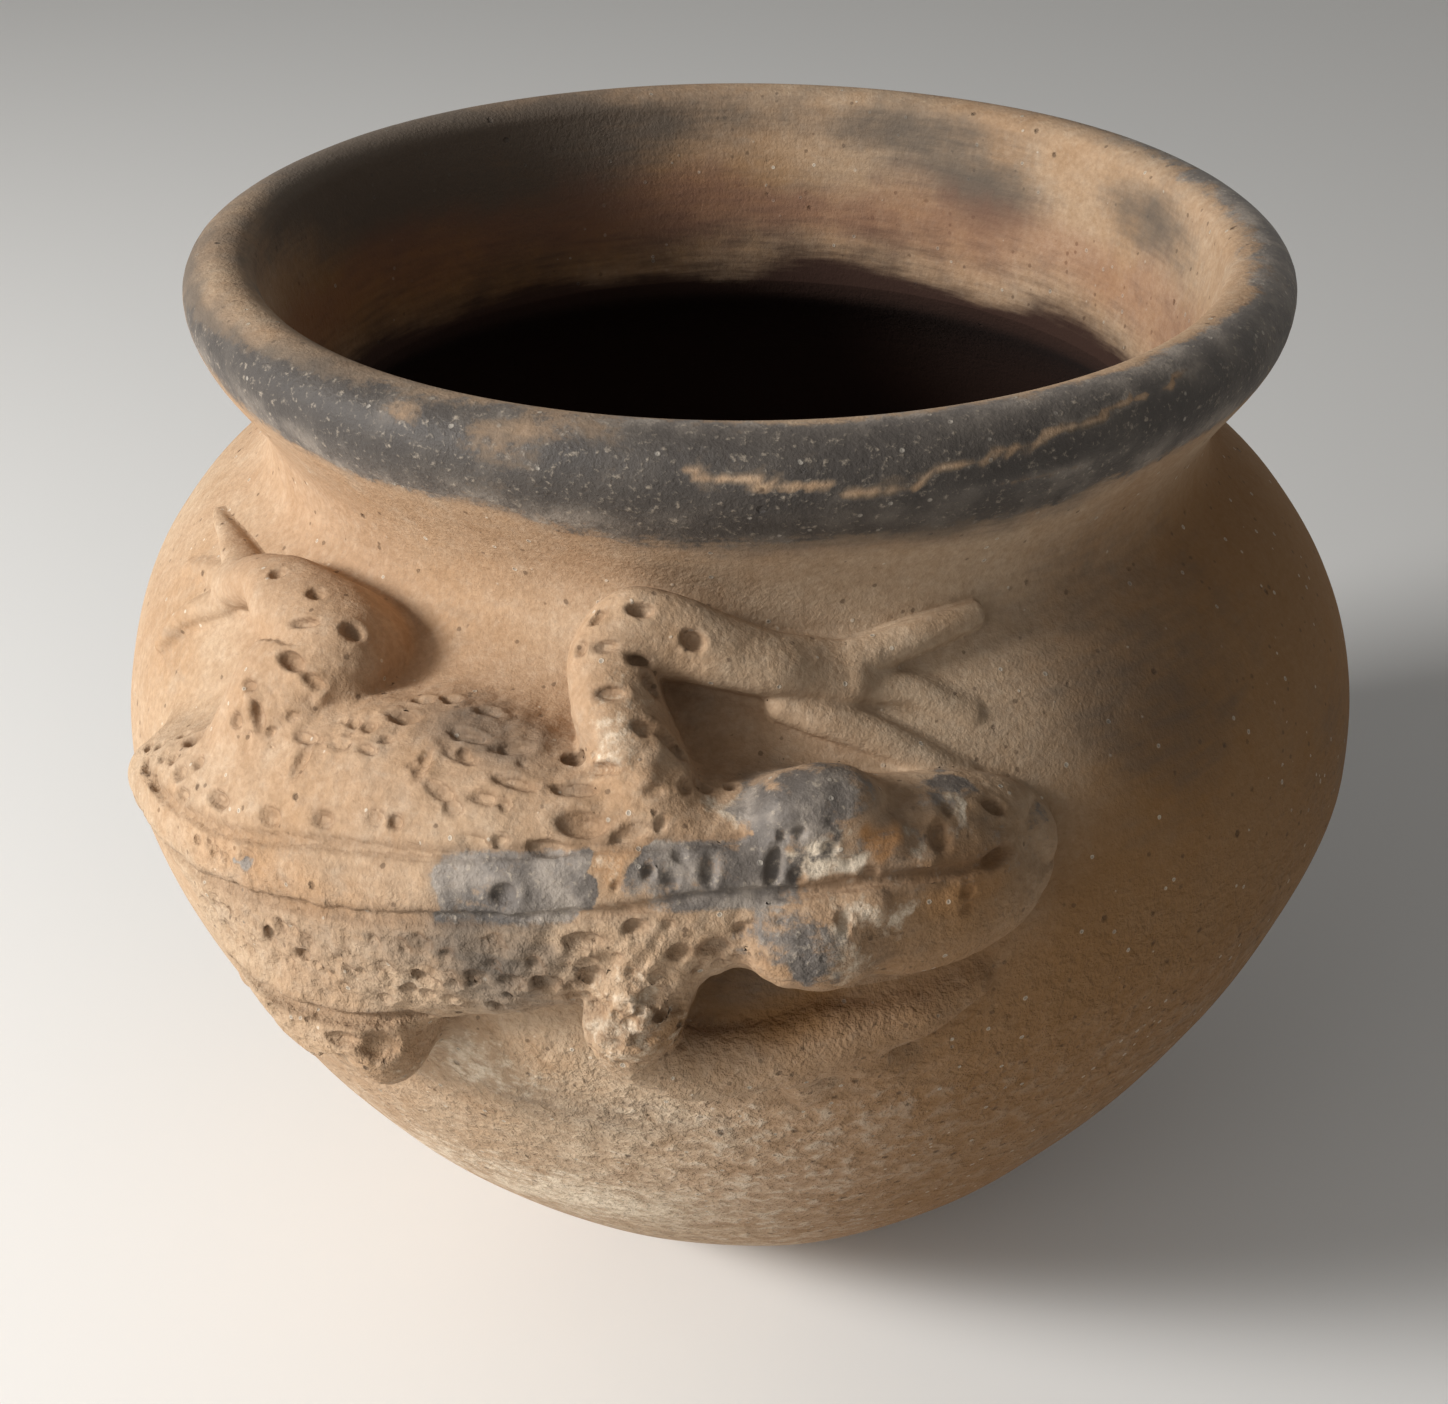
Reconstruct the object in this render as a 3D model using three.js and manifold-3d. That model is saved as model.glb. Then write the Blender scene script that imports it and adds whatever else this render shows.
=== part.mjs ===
// A round-bellied clay cooking jar with a flared, rolled rim and a toad in high relief on its front.
// The jar is built up from a pinched bowl and coils of clay. The toad is put together from separate
// rolls and lumps of clay that are pressed on to the wall. Lengths are in millimetres. The jar stands
// on z = 0 about the z axis, and the toad lies on the side towards -y with its head towards +x.
import * as THREE from "three";
import { mergeVertices } from "three/addons/utils/BufferGeometryUtils.js";
import Module from "manifold-3d";

const wasm = await Module();
wasm.setup();

// Outside of the jar.
const REST_RADIUS = 24; // the small flat that the jar stands on
const BELLY_RADIUS = 90;
const BELLY_HEIGHT = 85;
const SHOULDER_REACH = 10; // of the shoulder's curve past the neck, to where it would close over
const NECK_RADIUS = 66;
const LIP_RADIUS = 75;
const JAR_HEIGHT = 157;
const LOWER_FULLNESS = 1.44; // exponents of the two curves: 2 is an ellipse, 1 a straight cone
const SHOULDER_FULLNESS = 2.33;
const NECK_BLEND = 5; // how softly the shoulder runs into the neck
const FLARE_RISE = 20; // of the neck's narrowest line to the lip's widest one

// The lip's roll, from its widest line over its crest to the sharp inner edge at the mouth.
const LIP_ROLL = 5; // from the widest line up to the crest
const CREST_INSET = 5.5;
const LIP_THICKNESS = 10;
const MOUTH_DROP = 3; // from the crest down to the inner edge

// Inside of the jar.
const WALL = 6;
const FLOOR = 8;
const THROAT_DROP = 4; // of the inside's narrowest line below the outside's

const LIP_HEIGHT = JAR_HEIGHT - LIP_ROLL;
const NECK_HEIGHT = LIP_HEIGHT - FLARE_RISE;
const SHOULDER_SPAN = NECK_HEIGHT - BELLY_HEIGHT;
const SHOULDER_RISE = SHOULDER_SPAN + SHOULDER_REACH;
const MOUTH_RADIUS = LIP_RADIUS - LIP_THICKNESS;
const MOUTH_HEIGHT = JAR_HEIGHT - MOUTH_DROP;
const THROAT_RADIUS = NECK_RADIUS - WALL;
const THROAT_HEIGHT = NECK_HEIGHT - THROAT_DROP;

// Heights of the joints between the coils, as shares of the bowl below the belly and of the shoulder.
const BOWL_SHARES = [0.26, 0.59];
const SHOULDER_SHARES = [0.085, 0.575, 0.894];
const [BOWL_TOP, LOWER_TOP] = BOWL_SHARES.map((share) => share * BELLY_HEIGHT);
const [BELLY_TOP, SHOULDER_TOP, THROAT_TOP] = SHOULDER_SHARES.map(
  (share) => BELLY_HEIGHT + share * SHOULDER_SPAN,
);
const COLLAR_TOP = NECK_HEIGHT + FLARE_RISE / 2;

// The toad's back lies along the shoulder of the jar. Above it, the legs have the room up to the neck.
const SPINE_SHARE = 0.468; // of the shoulder's height
const SPINE_HEIGHT = BELLY_HEIGHT + SPINE_SHARE * SHOULDER_SPAN;
const GIVEN_SPAN = 47; // of the shoulder that the toad's places below are given for
const LEG_ROOM = SHOULDER_SPAN / GIVEN_SPAN;
const SEAT_GAP = 0.3; // between pieces of clay that are pressed together
const ROOT_DEPTH = 3.5; // of a limb in the toad's flank
const BEND_SHARE = 0.85; // of a bend's width that the lower roll starts with, inside the upper one
const STRIP_WIDTH = 6.6;
const STRIP_DEPTH = 4.4;
const STRIP_PROUD = 1.3; // of the strip above the toad's back
const EYE_RADIUS = 5.8;
const EYE_END_RADIUS = 4.6;
const EYE_LENGTH = 17.5;
const EYE_SINK = 0.5; // of the eye's axis below the top of the head
const DIGIT_RADII = [2.4, 2.1, 1.8]; // at the root, the middle and the tip
const DIGIT_SINK = 1.3; // of a digit into the wall

// How finely round shapes are divided.
const JAR_SIDES = 48;
const COIL_STEP = 8; // longest step up the wall
const CREST_STEPS = 4;
const BODY_SIDES = 18;
const ROLL_SIDES = 10;
const DIGIT_SIDES = 8;

const CLAY = { color: 0xb38b5f, roughness: 0.9, metalness: 0 };
const SLIP = { color: 0x4b4a4e, roughness: 0.75, metalness: 0 };

// The larger of a and b, rounded where they meet.
function softMax(a, b, blend) {
  const near = Math.max(blend - Math.abs(a - b), 0) / blend;
  return Math.max(a, b) + (near * near * blend) / 4;
}

// Radius of a round-bellied bowl at a height: a fuller curve above the belly than below it.
function bowlRadius(height, bowl) {
  if (height <= BELLY_HEIGHT) {
    const down = (BELLY_HEIGHT - height) / (BELLY_HEIGHT - bowl.base);
    const out = (1 - Math.min(down, 1) ** LOWER_FULLNESS) ** (1 / LOWER_FULLNESS);
    return REST_RADIUS + (bowl.belly - REST_RADIUS) * out;
  }
  const up = Math.min((height - BELLY_HEIGHT) / bowl.rise, 1);
  return bowl.belly * (1 - up ** SHOULDER_FULLNESS) ** (1 / SHOULDER_FULLNESS);
}

const OUTER_BOWL = { base: 0, belly: BELLY_RADIUS, rise: SHOULDER_RISE };
const INNER_BOWL = { base: FLOOR, belly: BELLY_RADIUS - WALL, rise: SHOULDER_RISE - WALL };

function outerRadius(height) {
  const up = THREE.MathUtils.clamp((height - NECK_HEIGHT) / FLARE_RISE, 0, 1);
  const flare = NECK_RADIUS + ((LIP_RADIUS - NECK_RADIUS) * (1 - Math.cos(Math.PI * up))) / 2;
  if (height < BELLY_HEIGHT) return bowlRadius(height, OUTER_BOWL);
  return softMax(bowlRadius(height, OUTER_BOWL), flare, NECK_BLEND);
}

function innerRadius(height) {
  const up = Math.max((height - THROAT_HEIGHT) / (MOUTH_HEIGHT - THROAT_HEIGHT), 0);
  const throat = THROAT_RADIUS + (MOUTH_RADIUS - THROAT_RADIUS) * up;
  if (height < BELLY_HEIGHT) return bowlRadius(height, INNER_BOWL);
  return softMax(bowlRadius(height, INNER_BOWL), throat, NECK_BLEND);
}

// Heights from low to high in even steps.
function levels(low, high) {
  const steps = Math.max(2, Math.ceil((high - low) / COIL_STEP));
  return Array.from({ length: steps + 1 }, (_, i) => low + ((high - low) * i) / steps);
}

// The same, with one more level near the bottom, where a bowl's curve starts steeply.
function bowlLevels(low, high) {
  const [first, ...others] = levels(low, high);
  return [first, first + COIL_STEP / 4, ...others];
}

// A closed outline in (radius, height), turned round the jar's axis.
function turned(outline) {
  const closed = [...outline, outline[0]].map(([radius, height]) => new THREE.Vector2(radius, height));
  return new THREE.LatheGeometry(closed, JAR_SIDES).rotateX(Math.PI / 2);
}

function ring(low, high) {
  const outside = levels(low, high).map((height) => [outerRadius(height), height]);
  const inside = levels(low, high).map((height) => [innerRadius(height), height]);
  return turned([...outside, ...inside.reverse()]);
}

function bottomBowl() {
  const outside = bowlLevels(0, BOWL_TOP).map((height) => [outerRadius(height), height]);
  const inside = bowlLevels(FLOOR, BOWL_TOP).map((height) => [innerRadius(height), height]);
  return turned([[0, 0], ...outside, ...inside.reverse(), [0, FLOOR]]);
}

// A quarter of an ellipse that leaves one point upwards and comes level into the other.
function quarter([startRadius, startHeight], [endRadius, endHeight]) {
  return Array.from({ length: CREST_STEPS }, (_, i) => {
    const turn = ((i + 1) / CREST_STEPS) * (Math.PI / 2);
    return [
      startRadius + (endRadius - startRadius) * (1 - Math.cos(turn)),
      startHeight + (endHeight - startHeight) * Math.sin(turn),
    ];
  });
}

// The rolled lip: up its flare to the widest line, over the crest and down inside the mouth.
function lip() {
  const crest = [LIP_RADIUS - CREST_INSET, JAR_HEIGHT];
  const outside = levels(COLLAR_TOP, LIP_HEIGHT).map((height) => [outerRadius(height), height]);
  const overMouth = quarter([MOUTH_RADIUS, MOUTH_HEIGHT], crest).reverse().slice(1);
  const inside = levels(COLLAR_TOP, MOUTH_HEIGHT).map((height) => [innerRadius(height), height]);
  return turned([...outside, ...quarter([LIP_RADIUS, LIP_HEIGHT], crest), ...overMouth, ...inside.reverse()]);
}

// The outside of the wall in small steps, with the length measured up it.
const CHART_STEP = 0.25;
const CHART = [{ height: 0, radius: outerRadius(0), length: 0 }];
while (CHART.at(-1).height < LIP_HEIGHT) {
  const last = CHART.at(-1);
  const height = last.height + CHART_STEP;
  const radius = outerRadius(height);
  CHART.push({ height, radius, length: last.length + Math.hypot(CHART_STEP, radius - last.radius) });
}
const SPINE_RADIUS = outerRadius(SPINE_HEIGHT);
const SPINE_LENGTH = CHART.find((row) => row.height >= SPINE_HEIGHT).length;

// The outward direction in the plane of the jar's section, as (radial, upward).
function wallNormal(height) {
  const slope = (outerRadius(height + CHART_STEP) - outerRadius(height - CHART_STEP)) / (2 * CHART_STEP);
  return new THREE.Vector2(1, -slope).normalize();
}

// A place given as a potter lays it out: along the toad towards its head, across it up the wall, and
// its rise off the wall. Above the spine, places across the toad share out the room that is there.
function onWall(along, across, rise) {
  const length = SPINE_LENGTH + across * (across > 0 ? LEG_ROOM : 1);
  const above = CHART.findIndex((row) => row.length >= length);
  const low = CHART[above - 1];
  const share = (length - low.length) / (CHART[above].length - low.length);
  const height = low.height + share * CHART_STEP;
  const normal = wallNormal(height);
  const turn = along / SPINE_RADIUS;
  const radius = outerRadius(height) + rise * normal.x;
  return {
    place: new THREE.Vector3(radius * Math.sin(turn), -radius * Math.cos(turn), height + rise * normal.y),
    out: new THREE.Vector3(normal.x * Math.sin(turn), -normal.x * Math.cos(turn), normal.y),
  };
}

function solidOf(geometry) {
  const bare = geometry.clone();
  bare.deleteAttribute("normal");
  bare.deleteAttribute("uv");
  const merged = mergeVertices(bare, 1e-4);
  return new wasm.Manifold(
    new wasm.Mesh({
      numProp: 3,
      vertProperties: merged.getAttribute("position").array,
      triVerts: new Uint32Array(merged.index.array),
    }),
  );
}

function geometryOf(solid) {
  const mesh = solid.getMesh();
  return new THREE.BufferGeometry()
    .setAttribute("position", new THREE.BufferAttribute(new Float32Array(mesh.vertProperties), 3))
    .setIndex(new THREE.BufferAttribute(new Uint32Array(mesh.triVerts), 1))
    .toNonIndexed();
}

// One run of a roll of clay through stations of [along, across, rise, half width, half depth], with
// domed ends that reach out by a share of the half width there.
function run(stations, { rings, sides, startDome = 1, endDome = 1 }, grow) {
  const track = new THREE.CatmullRomCurve3(stations.map((s) => new THREE.Vector3(s[0], s[1], s[2])));
  const sizes = new THREE.CatmullRomCurve3(stations.map((s) => new THREE.Vector3(s[3], s[4], 0)));
  const spots = Array.from({ length: rings }, (_, i) => {
    const spot = track.getPoint(i / (rings - 1));
    const size = sizes.getPoint(i / (rings - 1));
    return { ...onWall(spot.x, spot.y, spot.z), wide: size.x + grow, deep: size.y + grow };
  });
  const frames = spots.map((spot, i) => {
    const before = spots[Math.max(i - 1, 0)].place;
    const after = spots[Math.min(i + 1, rings - 1)].place;
    const ahead = after.clone().sub(before).normalize();
    const side = spot.out.clone().cross(ahead).normalize();
    return { ...spot, ahead, side, up: ahead.clone().cross(side) };
  });
  const shifted = (frame, reach, size) => ({
    ...frame,
    place: frame.place.clone().addScaledVector(frame.ahead, reach),
    wide: frame.wide * size,
    deep: frame.deep * size,
  });
  const dome = (frame, reach, angles) =>
    angles.map((angle) => shifted(frame, reach * Math.sin(angle), Math.cos(angle)));
  const first = frames[0];
  const last = frames.at(-1);
  const startReach = -first.wide * startDome;
  const endReach = last.wide * endDome;
  const all = [...dome(first, startReach, [1.05, 0.55]), ...frames, ...dome(last, endReach, [0.55, 1.05])];
  const points = all.flatMap((frame) =>
    Array.from({ length: sides }, (_, i) => {
      const angle = (i / sides) * 2 * Math.PI;
      return frame.place
        .clone()
        .addScaledVector(frame.side, frame.wide * Math.cos(angle))
        .addScaledVector(frame.up, frame.deep * Math.sin(angle));
    }),
  );
  const tail = points.push(shifted(first, startReach, 0).place) - 1;
  const tip = points.push(shifted(last, endReach, 0).place) - 1;
  const top = (all.length - 1) * sides;
  const faces = [];
  for (let i = 0; i < sides; i++) {
    const next = (i + 1) % sides;
    faces.push(tail, next, i, tip, top + i, top + next);
    for (let row = 0; row < top; row += sides) {
      faces.push(row + i, row + next, row + sides + next, row + i, row + sides + next, row + sides + i);
    }
  }
  const geometry = new THREE.BufferGeometry().setFromPoints(points);
  geometry.setIndex(faces);
  return solidOf(geometry);
}

// A roll of one or two runs, which meet in a bend. With grow it is that much fatter all round, and then
// it cuts the seat of a piece that is pressed against it.
function roll({ runs, ...shape }, grow = 0) {
  return runs.map((stations) => run(stations, shape, grow)).reduce((whole, part) => whole.add(part));
}

// The filled jar, a seat's gap larger all over, which shapes the underside of whatever lies on it.
function wallSeat() {
  const joints = [0, BOWL_TOP, LOWER_TOP, BELLY_TOP, SHOULDER_TOP, THROAT_TOP, COLLAR_TOP];
  const heights = joints.slice(1).flatMap((top, i) => levels(joints[i], top).slice(1));
  const skin = heights.map((height) => {
    const normal = wallNormal(height);
    return [outerRadius(height) + SEAT_GAP * normal.x, height + SEAT_GAP * normal.y];
  });
  return solidOf(turned([[0, skin[0][1]], ...skin, [0, skin.at(-1)[1]]]));
}

// Stations of the toad's body from the tail to the snout, each as [along, across, rise, half width,
// half depth].
const TORSO = [
  [-82, -7, -1, 5.6, 7.2],
  [-76, -6.9, -0.5, 7.8, 8.8],
  [-68, -6.6, 0, 11.2, 10.3],
  [-58, -5.4, 0.5, 15.6, 11.5],
  [-45, -2.4, 1, 18.8, 12.5],
  [-33, 0.4, 1, 18.1, 12.8],
  [-20, 1.1, 1, 14.8, 12.5],
  [-9, 1.6, 1, 12, 11.5],
  [0, 2.2, 1, 10.3, 10.5],
];
const HEAD = [
  [2, 2.3, 1, 10, 10.3],
  [10, 1.8, 1, 10.5, 10.3],
  [18, 1.4, 0.5, 10.4, 9.3],
  [25, 1.8, 0, 9.4, 7.8],
  [30, 2.2, -0.5, 7.3, 6],
  [33, 2.3, -0.8, 5.2, 4.6],
];
const BODY = [...TORSO, ...HEAD];

// The body's station at any place along it.
function bodyAt(along) {
  const after = THREE.MathUtils.clamp(BODY.filter((row) => row[0] < along).length, 1, BODY.length - 1);
  const [low, high] = [BODY[after - 1], BODY[after]];
  const share = (along - low[0]) / (high[0] - low[0]);
  const [, across, rise, wide, deep] = low.map((value, i) => value + (high[i] - value) * share);
  return { across, rise, wide, deep };
}

// How far the body's back rises off the wall at a place.
function backRise(along, across) {
  const body = bodyAt(along);
  const off = Math.min(Math.abs(across - body.across) / body.wide, 1);
  return body.rise + body.deep * Math.sqrt(1 - off ** 2);
}

// The strip runs along the spine from the rump to between the eyes.
const STRIP_LINE = [
  [-83, -7.6],
  [-73, -7],
  [-61, -5.3],
  [-45, -2.8],
  [-29, -0.6],
  [-19, 0.8],
  [-9, 2],
  [4, 2.3],
];
function strip() {
  return STRIP_LINE.map(([along, across]) => {
    const rise = backRise(along, across) + STRIP_PROUD - STRIP_DEPTH / 2;
    return [along, across, rise, STRIP_WIDTH / 2, STRIP_DEPTH / 2];
  });
}

const EYE_PLACES = { left: [9, 9.7], right: [8.6, -2.4] };
function eye([along, across]) {
  const rise = backRise(along, across) - EYE_SINK;
  const droop = EYE_RADIUS - EYE_END_RADIUS;
  const reach = EYE_LENGTH / 2 - EYE_END_RADIUS;
  return [
    [along - reach, across, rise - droop, EYE_END_RADIUS, EYE_END_RADIUS],
    [along, across, rise, EYE_RADIUS, EYE_RADIUS],
    [along + reach, across, rise - droop, EYE_END_RADIUS, EYE_END_RADIUS],
  ];
}

// Each limb starts in the flank and bends once, at its last upper station. Its digits are given as
// reaches from the wrist or ankle, which is its last lower station.
const LIMBS = {
  toad_left_foreleg: {
    root: [-9.5, 1, 6, 6.6, 6],
    upper: [
      [-13, 17.5, 6.8, 6.4, 6.2],
      [-15.4, 24.5, 6.8, 6.4, 6.1],
      [-14.4, 29.8, 6.4, 6.2, 6],
    ],
    lower: [
      [-8, 30.5, 5.8, 5.3, 5.3],
      [-1.5, 28.5, 4.8, 4.8, 5],
      [4.5, 26, 4, 4.5, 4.6],
      [10.5, 24.4, 3, 4.4, 3.8],
      [15.5, 23.6, 2, 4.2, 3],
    ],
    digits: {
      toad_left_finger_1: [[-0.5, 2.5], [11.3, 5.6], [22, 6.6]],
      toad_left_finger_2: [[1.5, 0.2], [10.2, -2.6], [17, -6.1]],
      toad_left_finger_3: [[-7.3, -1.9], [3, -5.7], [14, -12.6]],
    },
  },
  toad_right_foreleg: {
    root: [-10, -1, 5, 6.5, 6],
    upper: [
      [-10.4, -10.3, 5.8, 6.7, 6.2],
      [-9.6, -14.2, 5.4, 6.3, 6],
    ],
    lower: [
      [-5.5, -17.7, 4.5, 5, 4.8],
      [0.5, -19.5, 3.2, 4.3, 4],
      [6.5, -19.9, 2, 4, 3],
      [12, -19.5, 1.3, 4, 2.6],
    ],
    digits: {
      toad_right_finger_1: [[0.5, 1.1], [8.6, 2.5], [14.8, 3.7]],
      toad_right_finger_2: [[1.5, -1.3], [7, -2.7], [11.5, -4.4]],
      toad_right_finger_3: [[-1.3, -3.1], [-2.2, -7], [-3.4, -10.5]],
    },
  },
  toad_left_hindleg: {
    root: [-63, 1, 4, 6.5, 6],
    upper: [
      [-60.5, 10, 5.4, 6.9, 6.6],
      [-57.5, 15, 6, 7.1, 6.9],
      [-57, 18.8, 6, 6.8, 6.6],
    ],
    lower: [
      [-62, 21.4, 4.8, 6, 5.6],
      [-72, 21.4, 3.4, 5, 4.6],
      [-82, 19.6, 2.4, 4.2, 3.6],
      [-88.5, 17.6, 1.8, 4, 3],
    ],
    digits: {
      toad_left_toe_1: [[-2.5, 1.8], [-13.5, 2.2], [-23.5, 1.9]],
      toad_left_toe_2: [[-3.5, -1.1], [-11.5, -4], [-18.5, -7]],
      toad_left_toe_3: [[-1.5, -3.2], [-7, -8.2], [-10.9, -14.2]],
    },
  },
  toad_right_hindleg: {
    root: [-57, -1, 3.5, 6, 5.6],
    upper: [
      [-49.5, -18.6, 5, 6.4, 6],
      [-44, -19.8, 5.4, 6.3, 6],
      [-40.5, -21, 5.2, 6, 5.8],
    ],
    lower: [
      [-43.5, -26, 3.6, 5, 4.8],
      [-50, -29.6, 2.6, 4.6, 4],
      [-58, -31.6, 2, 4.2, 3.2],
      [-65, -33, 1.5, 4, 2.8],
    ],
    digits: {
      toad_right_toe_1: [[-4, -0.6], [-10, -4], [-15, -9]],
      toad_right_toe_2: [[-2.6, -2.8], [-7, -8.4], [-10.4, -15]],
      toad_right_toe_3: [[0.2, -3.4], [-2, -10], [-4, -17]],
    },
  },
};

function limb({ root: [along, side, ...sizes], upper, lower }) {
  const flank = bodyAt(along);
  const root = [along, flank.across + side * (flank.wide - ROOT_DEPTH), ...sizes];
  const [bendAlong, bendAcross, rise, wide, deep] = upper.at(-1);
  const bend = [bendAlong, bendAcross, rise, wide * BEND_SHARE, deep * BEND_SHARE];
  return [[root, ...upper], [bend, ...lower]];
}

function digit([along, across], reaches) {
  return reaches.map(([ahead, aside], i) => {
    const radius = DIGIT_RADII[i];
    return [along + ahead, across + aside, radius - DIGIT_SINK, radius, radius];
  });
}

const jar = new THREE.Group();

function addClay(name, geometry, look) {
  const mesh = new THREE.Mesh(geometry, new THREE.MeshStandardMaterial(look));
  mesh.name = name;
  jar.add(mesh);
}

addClay("base_bowl", bottomBowl(), CLAY);
addClay("lower_wall", ring(BOWL_TOP, LOWER_TOP), CLAY);
addClay("belly_wall", ring(LOWER_TOP, BELLY_TOP), CLAY);
addClay("shoulder_wall", ring(BELLY_TOP, SHOULDER_TOP), CLAY);
addClay("throat_wall", ring(SHOULDER_TOP, THROAT_TOP), CLAY);
addClay("neck_collar", ring(THROAT_TOP, COLLAR_TOP), CLAY);
addClay("rim_coil", lip(), SLIP);

// Each roll of the toad is shaped by the wall and by the rolls that were pressed on before it. The strip
// and the eyes come first, because they are sunk into the back and the head.
const taken = [wallSeat()];
function press(name, look, shape) {
  const pressed = taken.reduce((solid, neighbour) => solid.subtract(neighbour), roll(shape));
  const [whole] = pressed.decompose().sort((a, b) => b.volume() - a.volume());
  addClay(name, geometryOf(whole), look);
  taken.push(roll(shape, SEAT_GAP));
}

press("toad_dorsal_strip", SLIP, { runs: [strip()], rings: 15, sides: 8, startDome: 0.8, endDome: 0.4 });
for (const [side, place] of Object.entries(EYE_PLACES)) {
  press(`toad_${side}_eye`, SLIP, { runs: [eye(place)], rings: 5, sides: ROLL_SIDES });
}
press("toad_torso", CLAY, { runs: [TORSO], rings: 14, sides: BODY_SIDES, startDome: 0.6, endDome: 0.25 });
press("toad_head", CLAY, { runs: [HEAD], rings: 9, sides: BODY_SIDES, startDome: 0.2, endDome: 0.6 });
for (const [name, shape] of Object.entries(LIMBS)) {
  press(name, CLAY, { runs: limb(shape), rings: 6, sides: ROLL_SIDES, startDome: 0.3 });
}
for (const { lower, digits } of Object.values(LIMBS)) {
  for (const [name, reaches] of Object.entries(digits)) {
    press(name, CLAY, { runs: [digit(lower.at(-1), reaches)], rings: 4, sides: DIGIT_SIDES, startDome: 0.3 });
  }
}

export default jar;
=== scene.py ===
import math

import bpy
import numpy as np
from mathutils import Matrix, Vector


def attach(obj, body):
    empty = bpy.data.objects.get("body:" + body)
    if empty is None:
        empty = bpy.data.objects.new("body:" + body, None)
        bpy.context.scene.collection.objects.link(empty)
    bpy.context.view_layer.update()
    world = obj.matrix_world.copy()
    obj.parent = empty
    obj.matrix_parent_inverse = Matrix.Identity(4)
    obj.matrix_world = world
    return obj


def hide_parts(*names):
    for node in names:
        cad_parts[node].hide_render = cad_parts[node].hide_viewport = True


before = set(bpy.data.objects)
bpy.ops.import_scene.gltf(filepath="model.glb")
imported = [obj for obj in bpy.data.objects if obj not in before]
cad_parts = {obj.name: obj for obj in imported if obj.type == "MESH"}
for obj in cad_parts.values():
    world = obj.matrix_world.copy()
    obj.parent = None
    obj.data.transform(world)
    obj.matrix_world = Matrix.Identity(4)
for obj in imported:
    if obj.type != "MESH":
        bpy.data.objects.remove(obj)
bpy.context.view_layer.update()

MM = 0.001

# The camera
# The photograph was taken from above the rim, close to the jar, and the jar stands a little to the
# right of its middle.
PHOTO_WIDTH = 1448
JAR_AXIS_PIXEL = 740
SENSOR_WIDTH = 36
LENS = 54.7
CAMERA_DISTANCE = 290.44
CAMERA_HEIGHT = 252.84
LOOKS_DOWN = 30.606
camera_data = bpy.data.cameras.new("camera")
camera_data.sensor_width = SENSOR_WIDTH
camera_data.lens = LENS
camera_data.shift_x = (PHOTO_WIDTH / 2 - JAR_AXIS_PIXEL) / PHOTO_WIDTH
camera = bpy.data.objects.new("camera", camera_data)
camera.location = (0, -CAMERA_DISTANCE * MM, CAMERA_HEIGHT * MM)
camera.rotation_euler = (math.radians(90 - LOOKS_DOWN), 0, 0)
bpy.context.collection.objects.link(camera)
bpy.context.scene.camera = camera

# The jar's clay
# Buff, low-fired earthenware with sand temper, smoothed by hand and fired in the open: matt, grainy and
# clouded. Every piece of the jar and the toad is the same body of clay, so its grain runs on from piece
# to piece.


def linear(hex_colour):
    """The linear colour of an sRGB hex one."""
    channels = [int(hex_colour[i : i + 2], 16) / 255 for i in (0, 2, 4)]
    return [c / 12.92 if c <= 0.04045 else ((c + 0.055) / 1.055) ** 2.4 for c in channels] + [1]


def add_node(tree, kind, settings=None, **links):
    """A node with its settings, and with each named input given a value or another node's output."""
    node = tree.nodes.new(kind)
    for name, value in (settings or {}).items():
        setattr(node, name, value)
    for name, value in links.items():
        index = int(name[1:]) if name[0] == "i" and name[1:].isdigit() else name.replace("_", " ")
        if isinstance(value, bpy.types.NodeSocket):
            tree.links.new(value, node.inputs[index])
        else:
            node.inputs[index].default_value = value
    return node


def new_material(name):
    material = bpy.data.materials.new(name)
    material.use_nodes = True
    material.node_tree.nodes.clear()
    return material, material.node_tree


def per_metre(millimetres):
    """The noise or cell scale that gives features of about that size."""
    return 1000 / millimetres


clay_material, clay = new_material("buff_earthenware")
place = add_node(clay, "ShaderNodeTexCoord").outputs["Object"]
signal = {}

# Noises of the clay's own grain and its firing: (size in millimetres, detail, roughness, distortion).
# The sand's grains are about 0.7 mm, drawn a little coarser so that they show.
NOISES = {
    "broad": (70, 4, 0.55, 0),
    "clouds": (26, 5, 0.55, 0),
    "patchy": (6, 5, 0.6, 0),
    "worn_edge": (5.5, 7, 0.7, 0.4),
    "gravel": (2.4, 3, 0.55, 0.3),
    "crumbs": (1.7, 4, 0.7, 0),
    "sand": (0.9, 4, 0.65, 0),
    "dust": (0.45, 2, 0.55, 0),
}
for name, (size, detail, roughness, distortion) in NOISES.items():
    signal[name] = add_node(
        clay, "ShaderNodeTexNoise", Vector=place, Scale=per_metre(size), Detail=detail,
        Roughness=roughness, Distortion=distortion,
    ).outputs[0]

# Wiping the wet clay round the jar left level streaks, eight times as long as they are high.
STREAK_LENGTH = 9
STREAK_SHAPE = (1, 1, 8)
streaked = add_node(clay, "ShaderNodeMapping", Vector=place, Scale=STREAK_SHAPE).outputs[0]
signal["wiped"] = add_node(
    clay, "ShaderNodeTexNoise", Vector=streaked, Scale=per_metre(STREAK_LENGTH), Detail=5, Roughness=0.6
).outputs[0]

# The marks are strengths kept at each corner of a piece's mesh.
# Some marks paint light: the darkening inside the jar, in the pits and grooves and the warm brown marks are
# painted shade, the pale marks are partly painted light, and the grey marks hold some painted shade.
MARKS = ("slip", "smoke_and_shade", "painted_inner_shade", "redness", "painted_shade", "weathered", "hollow", "rubbed_and_painted_light", "ochre")
for name in MARKS:
    signal[name] = add_node(clay, "ShaderNodeAttribute", {"attribute_name": name}).outputs["Fac"]

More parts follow.
